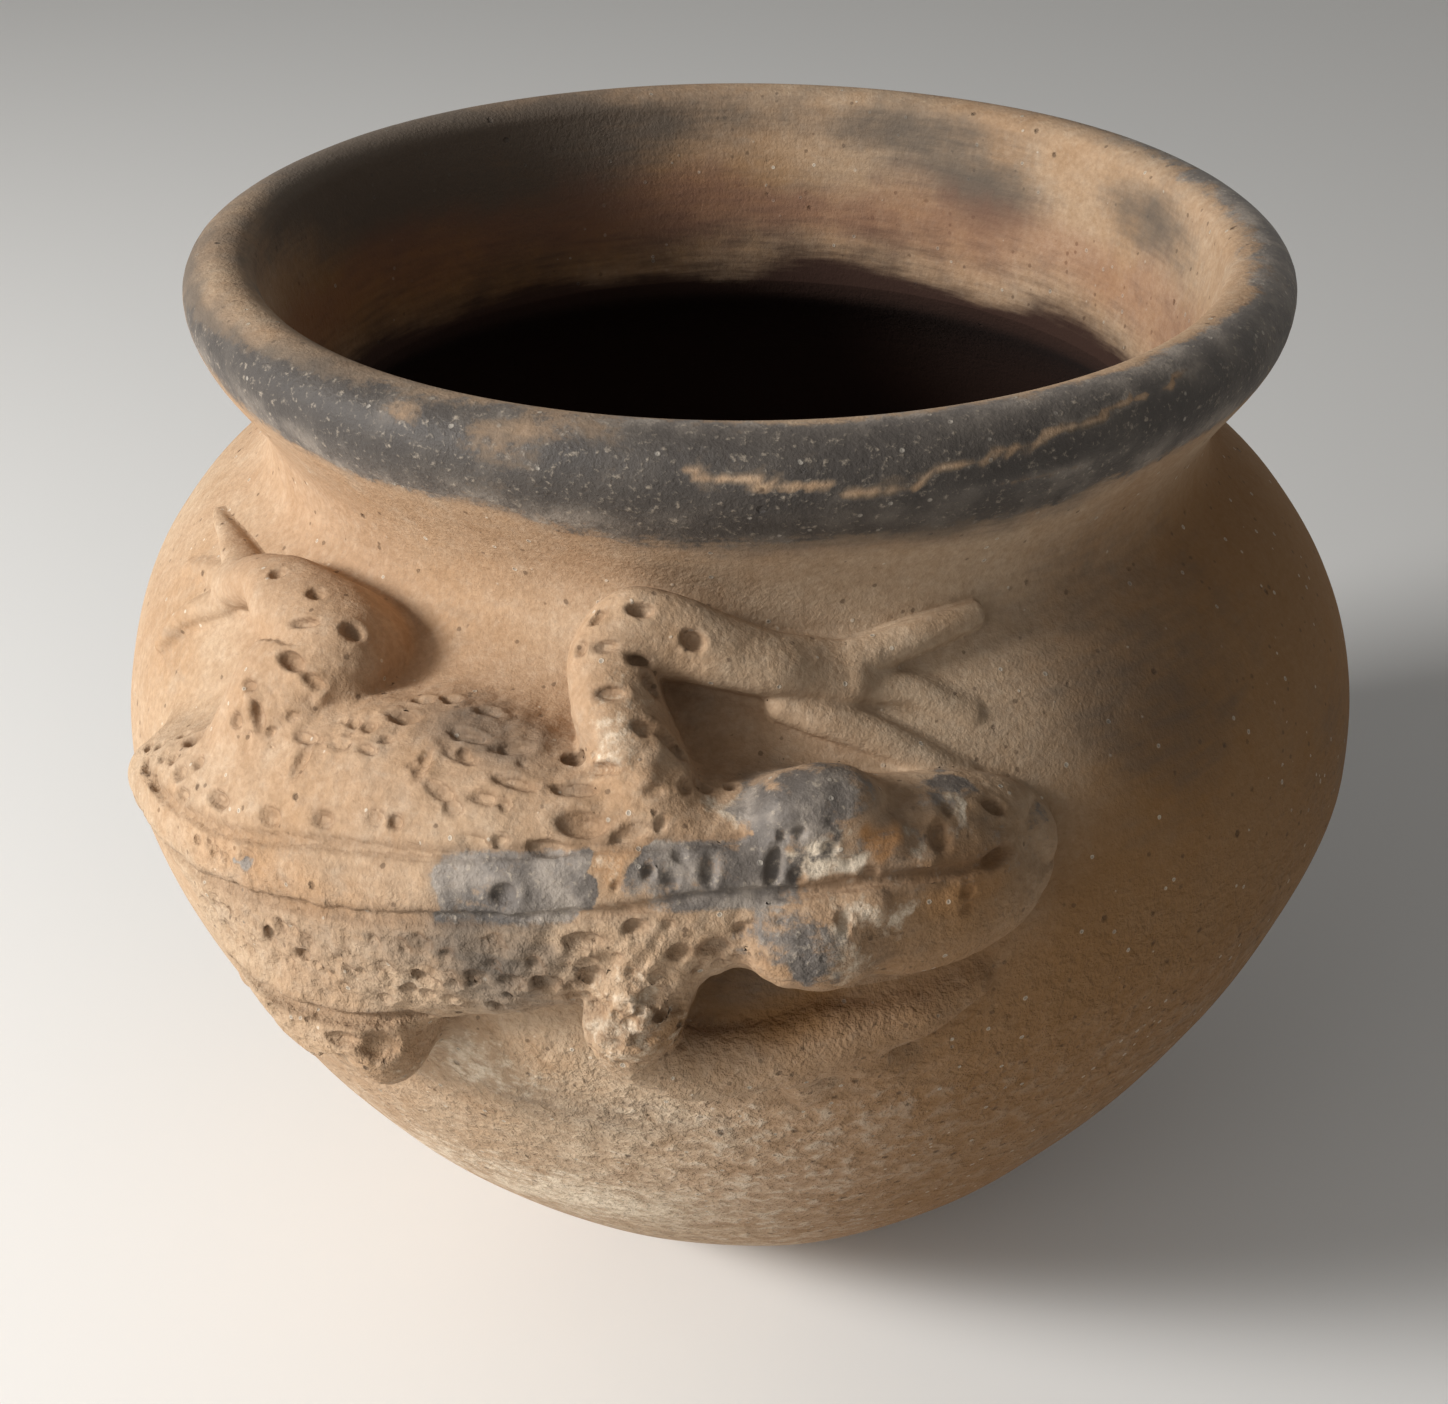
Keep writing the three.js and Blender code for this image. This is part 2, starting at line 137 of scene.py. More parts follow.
# Grains of temper, and pores that grains fell out of, are cells picked here and there: (size in
# millimetres, rim and core of the spot, the draw that starts to count and the one that does in full,
# how much more often on weathered clay).
SPOT_UNEVENNESS = 0.34
SPOTS = {
    "pale_grain": (1.1, 0.5, 0.36, 0.965, 0.98, 0.03),
    "dark_grain": (1.2, 0.5, 0.36, 0.92, 0.95, 0.02),
    "pore": (2.3, 0.4, 0.25, 0.965, 0.985, 0.12),
    "fine_pore": (1.1, 0.44, 0.3, 0.97, 0.985, 0.1),
}
for name, (size, rim, core, draw_start, draw_full, weathering) in SPOTS.items():
    cells = add_node(clay, "ShaderNodeTexVoronoi", Vector=place, Scale=per_metre(size))
    uneven = add_node(
        clay, "ShaderNodeMath", {"operation": "MULTIPLY_ADD"}, i0=signal["sand"], i1=SPOT_UNEVENNESS,
        i2=cells.outputs["Distance"],
    )
    draw = add_node(clay, "ShaderNodeSeparateColor", i0=cells.outputs["Color"])
    draw = add_node(
        clay, "ShaderNodeMath", {"operation": "MULTIPLY_ADD"}, i0=signal["weathered"], i1=weathering,
        i2=draw.outputs[0],
    )
    spot = add_node(clay, "ShaderNodeMapRange", i0=uneven.outputs[0], i1=rim, i2=core)
    picked = add_node(clay, "ShaderNodeMapRange", i0=draw.outputs[0], i1=draw_start, i2=draw_full)
    signal[name] = add_node(
        clay, "ShaderNodeMath", {"operation": "MULTIPLY"}, i0=spot.outputs[0], i1=picked.outputs[0]
    ).outputs[0]

# Weathered clay has lost its smooth skin, so its sand and gravel stand out.
for name, source in (("bare_sand", "sand"), ("bare_gravel", "gravel")):
    signal[name] = add_node(
        clay, "ShaderNodeMath", {"operation": "MULTIPLY"}, i0=signal["weathered"], i1=signal[source]
    ).outputs[0]

# Each of these is a sum of signals: (signal, weight). They steer the layers below and the relief.
SUMS = {
    # the grey sum holds some painted shade, the dark inside sum is painted shade, the warm brown sum is
    # painted shade with firing clouds, and the pale sum is bare clay and painted light
    "smoked_and_shaded": [("smoke_and_shade", 1.0), ("slip", 0.6), ("clouds", 0.9), ("patchy", 0.7), ("wiped", 0.6)],
    "mottled_inner_shade": [("painted_inner_shade", 1.0), ("patchy", 0.3), ("wiped", 0.5)],
    "reddened": [("redness", 1.0), ("patchy", 0.8)],
    "painted_shade_and_clouds": [("painted_shade", 1.0), ("clouds", 0.5)],
    "rubbed_bare": [("rubbed_and_painted_light", 1.0), ("crumbs", 0.9), ("patchy", 0.4)],
    "slip_left": [("slip", 1.0), ("worn_edge", 0.9), ("sand", 0.3), ("crumbs", 0.45), ("wiped", 0.35)],
    "relief": [
        ("sand", 0.12), ("dust", 0.06), ("crumbs", 0.12), ("patchy", 0.2), ("wiped", 0.08),
        ("bare_sand", 0.8), ("bare_gravel", 2), ("pore", -0.3), ("fine_pore", -0.12), ("pale_grain", 0.1),
    ],
}
for name, terms in SUMS.items():
    total = 0.0
    for term, weight in terms:
        total = add_node(
            clay, "ShaderNodeMath", {"operation": "MULTIPLY_ADD"}, i0=signal[term], i1=weight, i2=total
        ).outputs[0]
    signal[name] = total

# The clay's own colour is the first, and each layer goes over the ones before it: (colour, signal, its
# start and end, strength at the start and at the end).
CLAY_COLOUR = "d0b89c"
CLAY_LAYERS = [
    # buff, tan and orange clouds from the firing, and the sand in the clay
    ("c3a486", "broad", 0.38, 0.62, 0, 1),
    ("c0966d", "clouds", 0.45, 0.75, 0, 0.5),
    ("dfcab0", "patchy", 0.5, 0.8, 0, 0.5),
    ("9c7855", "patchy", 0.5, 0.25, 0, 0.35),
    ("6e5138", "sand", 0.7, 0.3, 0, 0.3),
    ("94734f", "crumbs", 0.42, 0.68, 0, 0.16),
    ("e6d6c0", "crumbs", 0.5, 0.3, 0, 0.14),
    ("7d5f3f", "bare_gravel", 0.5, 0.34, 0, 0.35),
    ("e6d6c0", "bare_gravel", 0.5, 0.66, 0, 0.5),
    # warm brown painted shade, mottled by the firing clouds
    ("7b5529", "painted_shade_and_clouds", 0.25, 1.2, 0, 0.8),
    ("e6dac6", "pale_grain", 0, 1, 0, 0.65),
    ("4a3728", "dark_grain", 0, 1, 0, 0.55),
    ("3d2a1b", "pore", 0, 1, 0, 0.6),
    ("3d2a1b", "fine_pore", 0, 1, 0, 0.5),
    # fire clouds are grey, with some painted shade among them, the throat is reddish, pale patches are bare
    # clay and painted light, and the pits, the grooves and the inside below the throat are darkened with
    # painted shade
    ("b98045", "ochre", 0, 1, 0, 0.75),
    ("ecdcc4", "rubbed_bare", 0.95, 1.35, 0, 0.75),
    ("564e46", "smoked_and_shaded", 1.15, 2.2, 0, 0.9),
    ("84533a", "reddened", 0.6, 1.4, 0, 0.42),
    ("5a412c", "hollow", 0, 1, 0, 0.5),
    ("2e1c14", "mottled_inner_shade", 0.55, 1.25, 0, 1),
]
# The slip is a thin slate-grey coat, paler where it is thin and darker under smoke and painted shade.
SLIP_COLOUR = "635b54"
SLIP_LAYERS = [
    ("9d9184", "patchy", 0.4, 0.68, 0, 0.9),
    ("3c3733", "smoke_and_shade", 0, 1, 0, 0.9),
    ("332e2a", "crumbs", 0.52, 0.75, 0, 0.45),
    ("a99b89", "sand", 0.55, 0.75, 0, 0.65),
    ("b9afa1", "pale_grain", 0, 1, 0, 0.5),
]
coats = []
for first_colour, layers in ((CLAY_COLOUR, CLAY_LAYERS), (SLIP_COLOUR, SLIP_LAYERS)):
    colour = linear(first_colour)
    for hex_colour, source, start, end, low, high in layers:
        share = add_node(
            clay, "ShaderNodeMapRange", {"interpolation_type": "SMOOTHSTEP"}, i0=signal[source], i1=start,
            i2=end, i3=low, i4=high,
        ).outputs[0]
        colour = add_node(
            clay, "ShaderNodeMix", {"data_type": "RGBA"}, i0=share, i6=colour, i7=linear(hex_colour)
        ).outputs[2]
    coats.append(colour)

# The slip is worn through to the clay in patches with ragged edges, and is smoother than bare clay.
SLIP_GONE, SLIP_WHOLE = 1.32, 1.56
CLAY_ROUGHNESS, SLIP_ROUGHNESS = 0.92, 0.6
RELIEF_DEPTH = 0.9
EARTHENWARE_IOR = 1.45
EARTHENWARE_SHEEN = 0.3
slip_cover = add_node(
    clay, "ShaderNodeMapRange", {"interpolation_type": "SMOOTHSTEP"}, i0=signal["slip_left"], i1=SLIP_GONE,
    i2=SLIP_WHOLE,
).outputs[0]
colour = add_node(clay, "ShaderNodeMix", {"data_type": "RGBA"}, i0=slip_cover, i6=coats[0], i7=coats[1])
rough = add_node(clay, "ShaderNodeMapRange", i0=slip_cover, i3=CLAY_ROUGHNESS, i4=SLIP_ROUGHNESS)
bump = add_node(clay, "ShaderNodeBump", Strength=1.0, Distance=RELIEF_DEPTH * MM, Height=signal["relief"])
clay_shader = add_node(
    clay, "ShaderNodeBsdfPrincipled", Base_Color=colour.outputs[2], Roughness=rough.outputs[0],
    Normal=bump.outputs[0],
)
clay_shader.inputs["IOR"].default_value = EARTHENWARE_IOR
clay_shader.inputs["Specular IOR Level"].default_value = EARTHENWARE_SHEEN
add_node(clay, "ShaderNodeOutputMaterial", Surface=clay_shader.outputs[0])

# A thin slate-grey slip, brushed on before firing, is smoother and duller than the clay that it hides. It
# is the same material, since the marks say where slip is left.
slip_material = clay_material.copy()
slip_material.name = "slate_slip_on_earthenware"

# The jar's wall
# Coiled from the bottom up, scraped inside and smoothed outside by hand while the clay was soft. The
# coils meet in flat joints that the smoothing hides. Sizes are in millimetres.
REST_RADIUS = 24
BELLY_RADIUS = 90
BELLY_HEIGHT = 85
SHOULDER_RISE = 57
NECK_RADIUS = 66
NECK_HEIGHT = 132
NECK_BLEND = 5
LIP_RADIUS = 75
LIP_HEIGHT = 152
FLARE_RISE = 20
JAR_HEIGHT = 157
CREST_RADIUS = 69.5
MOUTH_RADIUS = 65
MOUTH_HEIGHT = 154
THROAT_RADIUS = 60
THROAT_HEIGHT = 128
WALL = 6
FLOOR = 8
REST_EDGE = 2
LOWER_FULLNESS = 1.44
SHOULDER_FULLNESS = 2.33
JAR_SIDES = 480
OUTSIDE_STEP = 1.25
INSIDE_STEP = 2.5
SLOW_DIP, SLOW_DIP_SIZE = 0.75, 62
QUICK_DIP, QUICK_DIP_SIZE = 0.16, 17


def soft_max(a, b, blend):
    """The larger of two values, rounded over where they differ by less than blend."""
    near = np.maximum(blend - np.abs(a - b), 0) / blend
    return np.maximum(a, b) + near * near * blend / 4


def bowl_radius(height, base, belly, rise):
    down = np.clip((BELLY_HEIGHT - height) / (BELLY_HEIGHT - base), 0, 1)
    low = REST_RADIUS + (belly - REST_RADIUS) * (1 - down**LOWER_FULLNESS) ** (1 / LOWER_FULLNESS)
    up = np.clip((height - BELLY_HEIGHT) / rise, 0, 1)
    high = belly * (1 - up**SHOULDER_FULLNESS) ** (1 / SHOULDER_FULLNESS)
    return np.where(height <= BELLY_HEIGHT, low, high)


def outer_radius(height):
    bowl = bowl_radius(height, 0, BELLY_RADIUS, SHOULDER_RISE)
    up = np.clip((height - NECK_HEIGHT) / FLARE_RISE, 0, 1)
    flare = NECK_RADIUS + (LIP_RADIUS - NECK_RADIUS) * (1 - np.cos(math.pi * up)) / 2
    return np.where(height < BELLY_HEIGHT, bowl, soft_max(bowl, flare, NECK_BLEND))


def inner_radius(height):
    bowl = bowl_radius(height, FLOOR, BELLY_RADIUS - WALL, SHOULDER_RISE - WALL)
    up = np.maximum((height - THROAT_HEIGHT) / (MOUTH_HEIGHT - THROAT_HEIGHT), 0)
    throat = THROAT_RADIUS + (MOUTH_RADIUS - THROAT_RADIUS) * up
    return np.where(height < BELLY_HEIGHT, bowl, soft_max(bowl, throat, NECK_BLEND))


def waves(points, wavelength, seed, count=14):
    """A smooth unevenness between about -1 and 1, from plane waves in seeded directions."""
    draw = np.random.default_rng(seed)
    total = np.zeros(len(points))
    for _ in range(count):
        direction = draw.normal(size=3)
        direction /= np.linalg.norm(direction)
        length = wavelength * draw.uniform(0.75, 1.35)
        total += np.sin(points @ direction * (2 * math.pi / length) + draw.uniform(0, 2 * math.pi))
    return total / math.sqrt(count)


def wall_dip(points):
    """How far the hand-smoothed outside lies inside the jar's true form, in millimetres."""
    slow = 0.5 + 0.5 * np.tanh(waves(points, SLOW_DIP_SIZE, 11))
    quick = 0.5 + 0.5 * np.tanh(waves(points, QUICK_DIP_SIZE, 12))
    return SLOW_DIP * slow + QUICK_DIP * quick


def even_heights(low, high, radius_at, step):
    """Heights between low and high whose places on the curve are about a step apart."""
    fine = np.linspace(low, high, 400)
    radii = radius_at(fine)
    lengths = np.concatenate([[0], np.cumsum(np.hypot(np.diff(fine), np.diff(radii)))])
    count = max(2, math.ceil(lengths[-1] / step))
    return np.interp(np.linspace(0, lengths[-1], count + 1), lengths, fine)


def curve(low, high, radius_at, step):
    heights = even_heights(low, high, radius_at, step)
    return list(zip(radius_at(heights), heights))


def spun(name, outline_points):
    """The outline in (radius, height) turned round the jar's axis into one closed ring."""
    bpy.ops.object.select_all(action="DESELECT")
    bpy.ops.mesh.primitive_circle_add(vertices=len(outline_points), radius=1)
    ring = bpy.context.object
    ring.name = ring.data.name = name
    for vertex, (radius, height) in zip(ring.data.vertices, outline_points):
        vertex.co = (0, -radius * MM, height * MM)
    bpy.ops.object.mode_set(mode="EDIT")
    bpy.ops.mesh.select_all(action="SELECT")
    bpy.ops.mesh.spin(steps=JAR_SIDES, angle=2 * math.pi, center=(0, 0, 0), axis=(0, 0, 1))
    bpy.ops.mesh.select_all(action="SELECT")
    bpy.ops.mesh.remove_doubles(threshold=0.00001)
    bpy.ops.mesh.delete_loose(use_verts=True, use_edges=True, use_faces=False)
    bpy.ops.mesh.select_all(action="SELECT")
    bpy.ops.mesh.normals_make_consistent(inside=False)
    bpy.ops.object.mode_set(mode="OBJECT")
    return ring


def coordinates(piece):
    flat = np.empty(len(piece.data.vertices) * 3)
    piece.data.vertices.foreach_get("co", flat)
    return flat.reshape(-1, 3) / MM


def move_to(piece, points):
    piece.data.vertices.foreach_set("co", (points * MM).ravel())
    piece.data.update()


def put_marks(piece, all_marks):
    """Writes each mark's strength at each corner of the piece's mesh, for the material to read."""
    for name, values in all_marks.items():
        layer = piece.data.attributes.new(name, "FLOAT", "POINT")
        layer.data.foreach_set("value", np.asarray(values, np.float32))


def blots(x, y, places):
    """Soft ovals of (x, y, half width, half height, strength), each on top of the others."""
    total = np.zeros(np.shape(x))
    for x_middle, y_middle, wide, high, strength in places:
        far = ((x - x_middle) / wide) ** 2 + ((y - y_middle) / high) ** 2
        total += strength * np.exp(-(far**1.5))
    return total


# Places on the jar are its turn in degrees, 0 at the toad and rising towards its head, and the climb up
# the outside, over the lip and down the inside, in millimetres.
OVER_OUTSIDE, OVER_INSIDE = 8.25, 5.9
CREST_CLIMB = LIP_HEIGHT + OVER_OUTSIDE
MOUTH_CLIMB = CREST_CLIMB + OVER_INSIDE


def climb_of(points):
    """How far points of the jar lie along that climb."""
    radius, height = np.hypot(points[:, 0], points[:, 1]), points[:, 2]
    middle = (outer_radius(height) + inner_radius(height)) / 2
    rise_out = np.arctan2(
        (height - LIP_HEIGHT) / (JAR_HEIGHT - LIP_HEIGHT),
        (radius - CREST_RADIUS) / (LIP_RADIUS - CREST_RADIUS),
    )
    rise_in = np.arctan2(
        (height - MOUTH_HEIGHT) / (JAR_HEIGHT - MOUTH_HEIGHT),
        (CREST_RADIUS - radius) / (CREST_RADIUS - MOUTH_RADIUS),
    )
    over_out = LIP_HEIGHT + np.clip(rise_out / (math.pi / 2), 0, 1) * (CREST_CLIMB - LIP_HEIGHT)
    over_in = MOUTH_CLIMB - np.clip(rise_in / (math.pi / 2), 0, 1) * (MOUTH_CLIMB - CREST_CLIMB)
    climb = np.where(radius > middle, height, MOUTH_CLIMB + MOUTH_HEIGHT - height)
    climb = np.where((height > LIP_HEIGHT) & (radius >= CREST_RADIUS), over_out, climb)
    return np.where((height > MOUTH_HEIGHT) & (radius < CREST_RADIUS), over_in, climb)


# The marks on the jar: (turn, climb, half width in degrees, half height in millimetres, strength).
SLIP_BLOTS = [
    # the front and right of the lip's outer face, and its underside
    (10, 155.5, 62, 9, 0.64), (-48, 152, 26, 6, 0.5), (75, 155, 45, 8, 0.4), (110, 158, 30, 7, 0.35),
    (-120, 153, 60, 6, 0.35), (180, 153, 60, 7, 0.4),
    # on the throat below the lip
    (-6, 146, 17, 4.6, 0.5), (24, 146.5, 18, 4, 0.45), (50, 148, 14, 4, 0.35), (-36, 148, 12, 3, 0.35),
]
WORN_BLOTS = [
    (-31.5, 156, 2.8, 2, 0.5), (-21, 154.8, 4.6, 3.2, 0.38), (-15, 157.6, 5, 2, 0.3), (-60, 159, 16, 4, 0.3),
    (40, 163, 13, 2.6, 0.35), (-80, 160, 30, 4.5, 0.3), (62, 161, 8, 2, 0.3),
    (8, 161, 9, 1.2, 0.25), (28, 149.5, 9, 1, 0.4),
]
# A line along the front of the lip where the slip was rubbed through.
WEAR_TURNS = [-6, 0, 6, 12.5, 18, 24, 30.6, 40, 50]
WEAR_CLIMBS = [153.4, 152.6, 151.6, 151, 152.8, 153.6, 155.0, 155.6, 156.2]
WEAR_WIDTH = 0.55
# Grey fire clouds; the one at turn 1, climb 95.5 is painted shadow on the wall between the right elbow and
# hand, under the head.
SMOKE_AND_SHADE_BLOTS = [
    (38, 122, 20, 15, 0.5), (5, 153, 70, 7, 1), (-95, 160, 60, 9, 1), (110, 154, 50, 8, 0.45),
    (180, 152, 60, 7, 0.5), (-11, 73, 10, 6, 0.35), (1, 95.5, 4.5, 4, 0.7), (2, 143.5, 14, 4, 0.5),
    (24, 143.5, 14, 4, 0.5), (-22, 116, 10, 8, 0.2), (150, 80, 40, 25, 0.35), (-120, 95, 30, 25, 0.25),
    (64, 88, 18, 22, 0.25), (50, 50, 26, 22, 0.3), (180, 185, 60, 8, 0.15),
    # inside the mouth
    (-165, 182, 70, 8, 0.35), (178, 183, 40, 6, 0.3),
    (-142, 171, 30, 9, 1), (-110, 170, 22, 8, 0.5), (152, 170, 15, 7, 0.75), (140, 176, 10, 5, 0.7),
    (108, 171, 14, 5, 0.8), (92, 180, 14, 8, 0.35), (180, 166, 30, 5, 0.5), (70, 172, 12, 5, 0.4),
]
# Painted light: pale patches low on the front and left of the wall, and between the right hind foot and the
# right elbow.
PAINTED_LIGHT_BLOTS = [(-34, 40, 30, 24, 0.45), (-6, 46, 16, 12, 0.25), (-20, 79, 9, 8, 0.45)]
# Painted shade, warm brown, on the jar's shaded right side and on the wall between the right elbow and hand,
# under the head.
PAINTED_SHADE_BLOTS = [
    (80, 75, 50, 60, 1), (28, 82, 22, 24, 0.5), (38, 102, 18, 16, 0.4), (60, 125, 40, 16, 0.4),
    (45, 40, 40, 34, 0.95), (1, 95, 6, 5, 1),
    # inside the mouth
    (-160, 182, 62, 12, 0.6), (-120, 178, 45, 14, 0.6),
]
# A soot-dark painted shade darkens the inside from this far past the mouth and is thickest below the throat,
# and the reddened clay lies between: (start, run) and (middle, half height).
INNER_SHADE_STARTS, DEEP_INNER_SHADE_STARTS, INNER_SHADE_THINS = (8, 14), (22.5, 6), (95, 40)
REDNESS_BAND = (15, 7)
# The front and the toad's head side are weathered, less and less up to this climb, and from and to these
# turns.
WEATHERED_UP_TO = 105
WEATHERED_TURNS = (-60, 170)


def ramp(values, start, run):
    """0 up to the start and 1 from the end of the run on."""
    return np.clip((values - start) / run, 0, 1)


def jar_marks(points):
    """The strength of each mark at points on the jar."""
    turn = np.degrees(np.arctan2(points[:, 0], -points[:, 1]))
    climb = climb_of(points)

    def all_round(places):
        return sum(blots(turn + shift, climb, places) for shift in (-360, 0, 360))

    wear_line = np.interp(turn, WEAR_TURNS, WEAR_CLIMBS)
    wear_line += 0.5 * waves(points, 7, 31) + 0.25 * waves(points, 2.6, 32)
    along_line = ramp(turn, WEAR_TURNS[0], 3) * ramp(-turn, -WEAR_TURNS[-1], 6)
    worn = np.exp(-(((climb - wear_line) / WEAR_WIDTH) ** 2)) * along_line
    worn = np.maximum(worn, all_round(WORN_BLOTS))
    past_mouth = climb - MOUTH_CLIMB + 1.2 * waves(points, 22, 33)
    inside = ramp(past_mouth, *INNER_SHADE_STARTS)
    deep = ramp(past_mouth, *DEEP_INNER_SHADE_STARTS) - 0.5 * ramp(past_mouth, *INNER_SHADE_THINS)
    red_middle, red_height = REDNESS_BAND
    first, last = WEATHERED_TURNS
    # The grey marks hold a painted shadow, the darkening inside the mouth and the warm brown marks are
    # painted shade, and the pale marks are painted light.
    return {
        "slip": all_round(SLIP_BLOTS) - 0.8 * worn,
        "smoke_and_shade": all_round(SMOKE_AND_SHADE_BLOTS) - 0.9 * worn,
        "painted_inner_shade": 0.42 * inside + 0.75 * deep,
        "redness": np.exp(-(((past_mouth - red_middle) / red_height) ** 2)) * 0.9,
        "painted_shade": all_round(PAINTED_SHADE_BLOTS),
        "rubbed_and_painted_light": all_round(PAINTED_LIGHT_BLOTS),
        "weathered": ramp(-climb, -WEATHERED_UP_TO, 30) * ramp(turn, first, 60) * ramp(-turn, -last, 60),
    }


def dress(piece, material, sharp=35):
    """Gives a finished piece its material and its place in the frame. Edges sharper than sharp show."""
    piece.data.materials.clear()
    piece.data.materials.append(material)
    bpy.ops.object.select_all(action="DESELECT")
    piece.select_set(True)
    bpy.context.view_layer.objects.active = piece
    bpy.ops.object.shade_smooth_by_angle(angle=math.radians(sharp))
    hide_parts(piece.name.removesuffix("_clay"))
    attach(piece, "root")


def smoothed_by_hand(ring):
    """Marks a ring, then draws its outside in where the hands did."""
    points = coordinates(ring)
    put_marks(ring, jar_marks(points))
    radius = np.hypot(points[:, 0], points[:, 1])
    inner = inner_radius(points[:, 2])
    outside = np.clip((radius - inner) / (outer_radius(points[:, 2]) - inner), 0, 1)
    outside *= np.clip(points[:, 2] / REST_EDGE, 0, 1)
    dip = wall_dip(points) * outside
    scale = 1 - dip / np.maximum(radius, 1)
    points[:, 0] *= scale
    points[:, 1] *= scale
    move_to(ring, points)


JOINTS_BELOW_BELLY = (0.26, 0.59)
JOINTS_ABOVE_BELLY = (0.085, 0.575, 0.894)
low_joint, second_joint = [BELLY_HEIGHT * share for share in JOINTS_BELOW_BELLY]
span = NECK_HEIGHT - BELLY_HEIGHT
belly_joint, shoulder_joint, throat_joint = [BELLY_HEIGHT + share * span for share in JOINTS_ABOVE_BELLY]
collar_joint = NECK_HEIGHT + FLARE_RISE / 2

FLAT_RADII = (0, 8, 16)
base_points = (
    [(radius, 0) for radius in FLAT_RADII]
    + curve(0, low_joint, outer_radius, OUTSIDE_STEP)
    + curve(FLOOR, low_joint, inner_radius, INSIDE_STEP)[::-1]
    + [(radius, FLOOR) for radius in FLAT_RADII[::-1]]
)
base = spun("base_bowl_clay", base_points)
smoothed_by_hand(base)
dress(base, clay_material)

bands = {
    "lower_wall": (low_joint, second_joint),
    "belly_wall": (second_joint, belly_joint),
    "shoulder_wall": (belly_joint, shoulder_joint),
    "throat_wall": (shoulder_joint, throat_joint),
    "neck_collar": (throat_joint, collar_joint),
}
for name, (low, high) in bands.items():
    outside = curve(low, high, outer_radius, OUTSIDE_STEP)
    inside = curve(low, high, inner_radius, INSIDE_STEP)[::-1]
    band = spun(name + "_clay", outside + inside)
    smoothed_by_hand(band)
    dress(band, clay_material)

# The rolled lip
# A last coil, rolled outwards over the flare and smoothed round with wet fingers, then brushed with a
# slate-grey slip.
OUTER_ROLL_STEPS = 9
INNER_ROLL_STEPS = 7


def quarter(start, end, steps):
    """A quarter of an ellipse that leaves start upwards and comes level into end."""
    turns = [(i + 1) / steps * math.pi / 2 for i in range(steps)]
    return [
        (start[0] + (end[0] - start[0]) * (1 - math.cos(t)), start[1] + (end[1] - start[1]) * math.sin(t))
        for t in turns
    ]


crest = (CREST_RADIUS, JAR_HEIGHT)
lip_points = (
    curve(collar_joint, LIP_HEIGHT, outer_radius, OUTSIDE_STEP)
    + quarter((LIP_RADIUS, LIP_HEIGHT), crest, OUTER_ROLL_STEPS)
    + quarter((MOUTH_RADIUS, MOUTH_HEIGHT), crest, INNER_ROLL_STEPS)[::-1][1:]
    + curve(collar_joint, MOUTH_HEIGHT, inner_radius, OUTSIDE_STEP)[::-1]
)
lip = spun("rim_coil_clay", lip_points)
smoothed_by_hand(lip)
dress(lip, slip_material)

# The toad's body
# Rolls and lumps of clay pressed on to the shoulder of the jar. Places on the toad are along it towards
# the head and across it up the wall, measured on the wall from its spine.
SPINE_HEIGHT = 107
CHART_STEPS = 3041
SPINE_RADIUS = float(outer_radius(np.array(SPINE_HEIGHT)))
chart_heights = np.linspace(0, LIP_HEIGHT, CHART_STEPS)
chart_radii = outer_radius(chart_heights)
chart_lengths = np.concatenate([[0], np.cumsum(np.hypot(np.diff(chart_heights), np.diff(chart_radii)))])
chart_slopes = np.gradient(chart_radii, chart_heights)
spine_length = np.interp(SPINE_HEIGHT, chart_heights, chart_lengths)
LEAN_HEIGHT = 114

# The clay is worked out on a grid of small cubes. WALL_LEVEL is the wall's own skin, UNDERSIDE how far the
# rolls are pressed into it, LEAST_RISE what shows as clay on the wall, and UNDERCUT how steep a roll's
# lower half stands.
VOXEL = 0.36
ALONG_RANGE = (-116, 39)
ACROSS_RANGE = (-56, 43)
RISE_RANGE = (-1.4, 18.4)
WALL_LEVEL = -0.03
LEAST_RISE = 0.001
UNDERSIDE = -0.6
UNDERCUT = 0.4
along_steps = np.arange(*ALONG_RANGE, VOXEL, dtype=np.float32)
across_steps = np.arange(*ACROSS_RANGE, VOXEL, dtype=np.float32)
rise_steps = np.arange(*RISE_RANGE, VOXEL, dtype=np.float32)
ALONG, ACROSS = np.meshgrid(along_steps, across_steps, indexing="ij")

# The clay's surface is where distance is 0: less inside the clay, more outside it. nearest and maker say
# which roll a place belongs to, and hollow how much painted shade darkens a place where something was pushed
# into the clay.
distance = np.broadcast_to(rise_steps - WALL_LEVEL, (*ALONG.shape, len(rise_steps))).copy()
FAR_OFF = 99
nearest = np.full(distance.shape, FAR_OFF, np.float32)
maker = np.zeros(distance.shape, np.int8)
hollow = np.zeros(distance.shape, np.float32)
rolls = []


def soft_min(a, b, blend):
    return -soft_max(-a, -b, blend)


def window(along_low, along_high, across_low, across_high):
    """The slices of the grid that hold these places."""
    first, last = np.searchsorted(along_steps, [along_low, along_high])
    low, high = np.searchsorted(across_steps, [across_low, across_high])
    return slice(max(first, 0), last + 1), slice(max(low, 0), high + 1)


TRACK_STEPS = 12
ROLL_REACH = 7


def track(stations):
    """A smooth run through the stations, with TRACK_STEPS places from each to the next."""
    rows = np.array(stations, float)
    rows = np.vstack([2 * rows[0] - rows[1], rows, 2 * rows[-1] - rows[-2]])
    share = np.linspace(0, 1, TRACK_STEPS, endpoint=False)[:, None]
    spans = []
    for a, b, c, d in zip(rows[:-3], rows[1:-2], rows[2:-1], rows[3:]):
        bend = (2 * a - 5 * b + 4 * c - d) * share**2 + (3 * b - 3 * c + d - a) * share**3
        spans.append(0.5 * (2 * b + (c - a) * share + bend))
    return np.vstack([*spans, rows[-2:-1]])


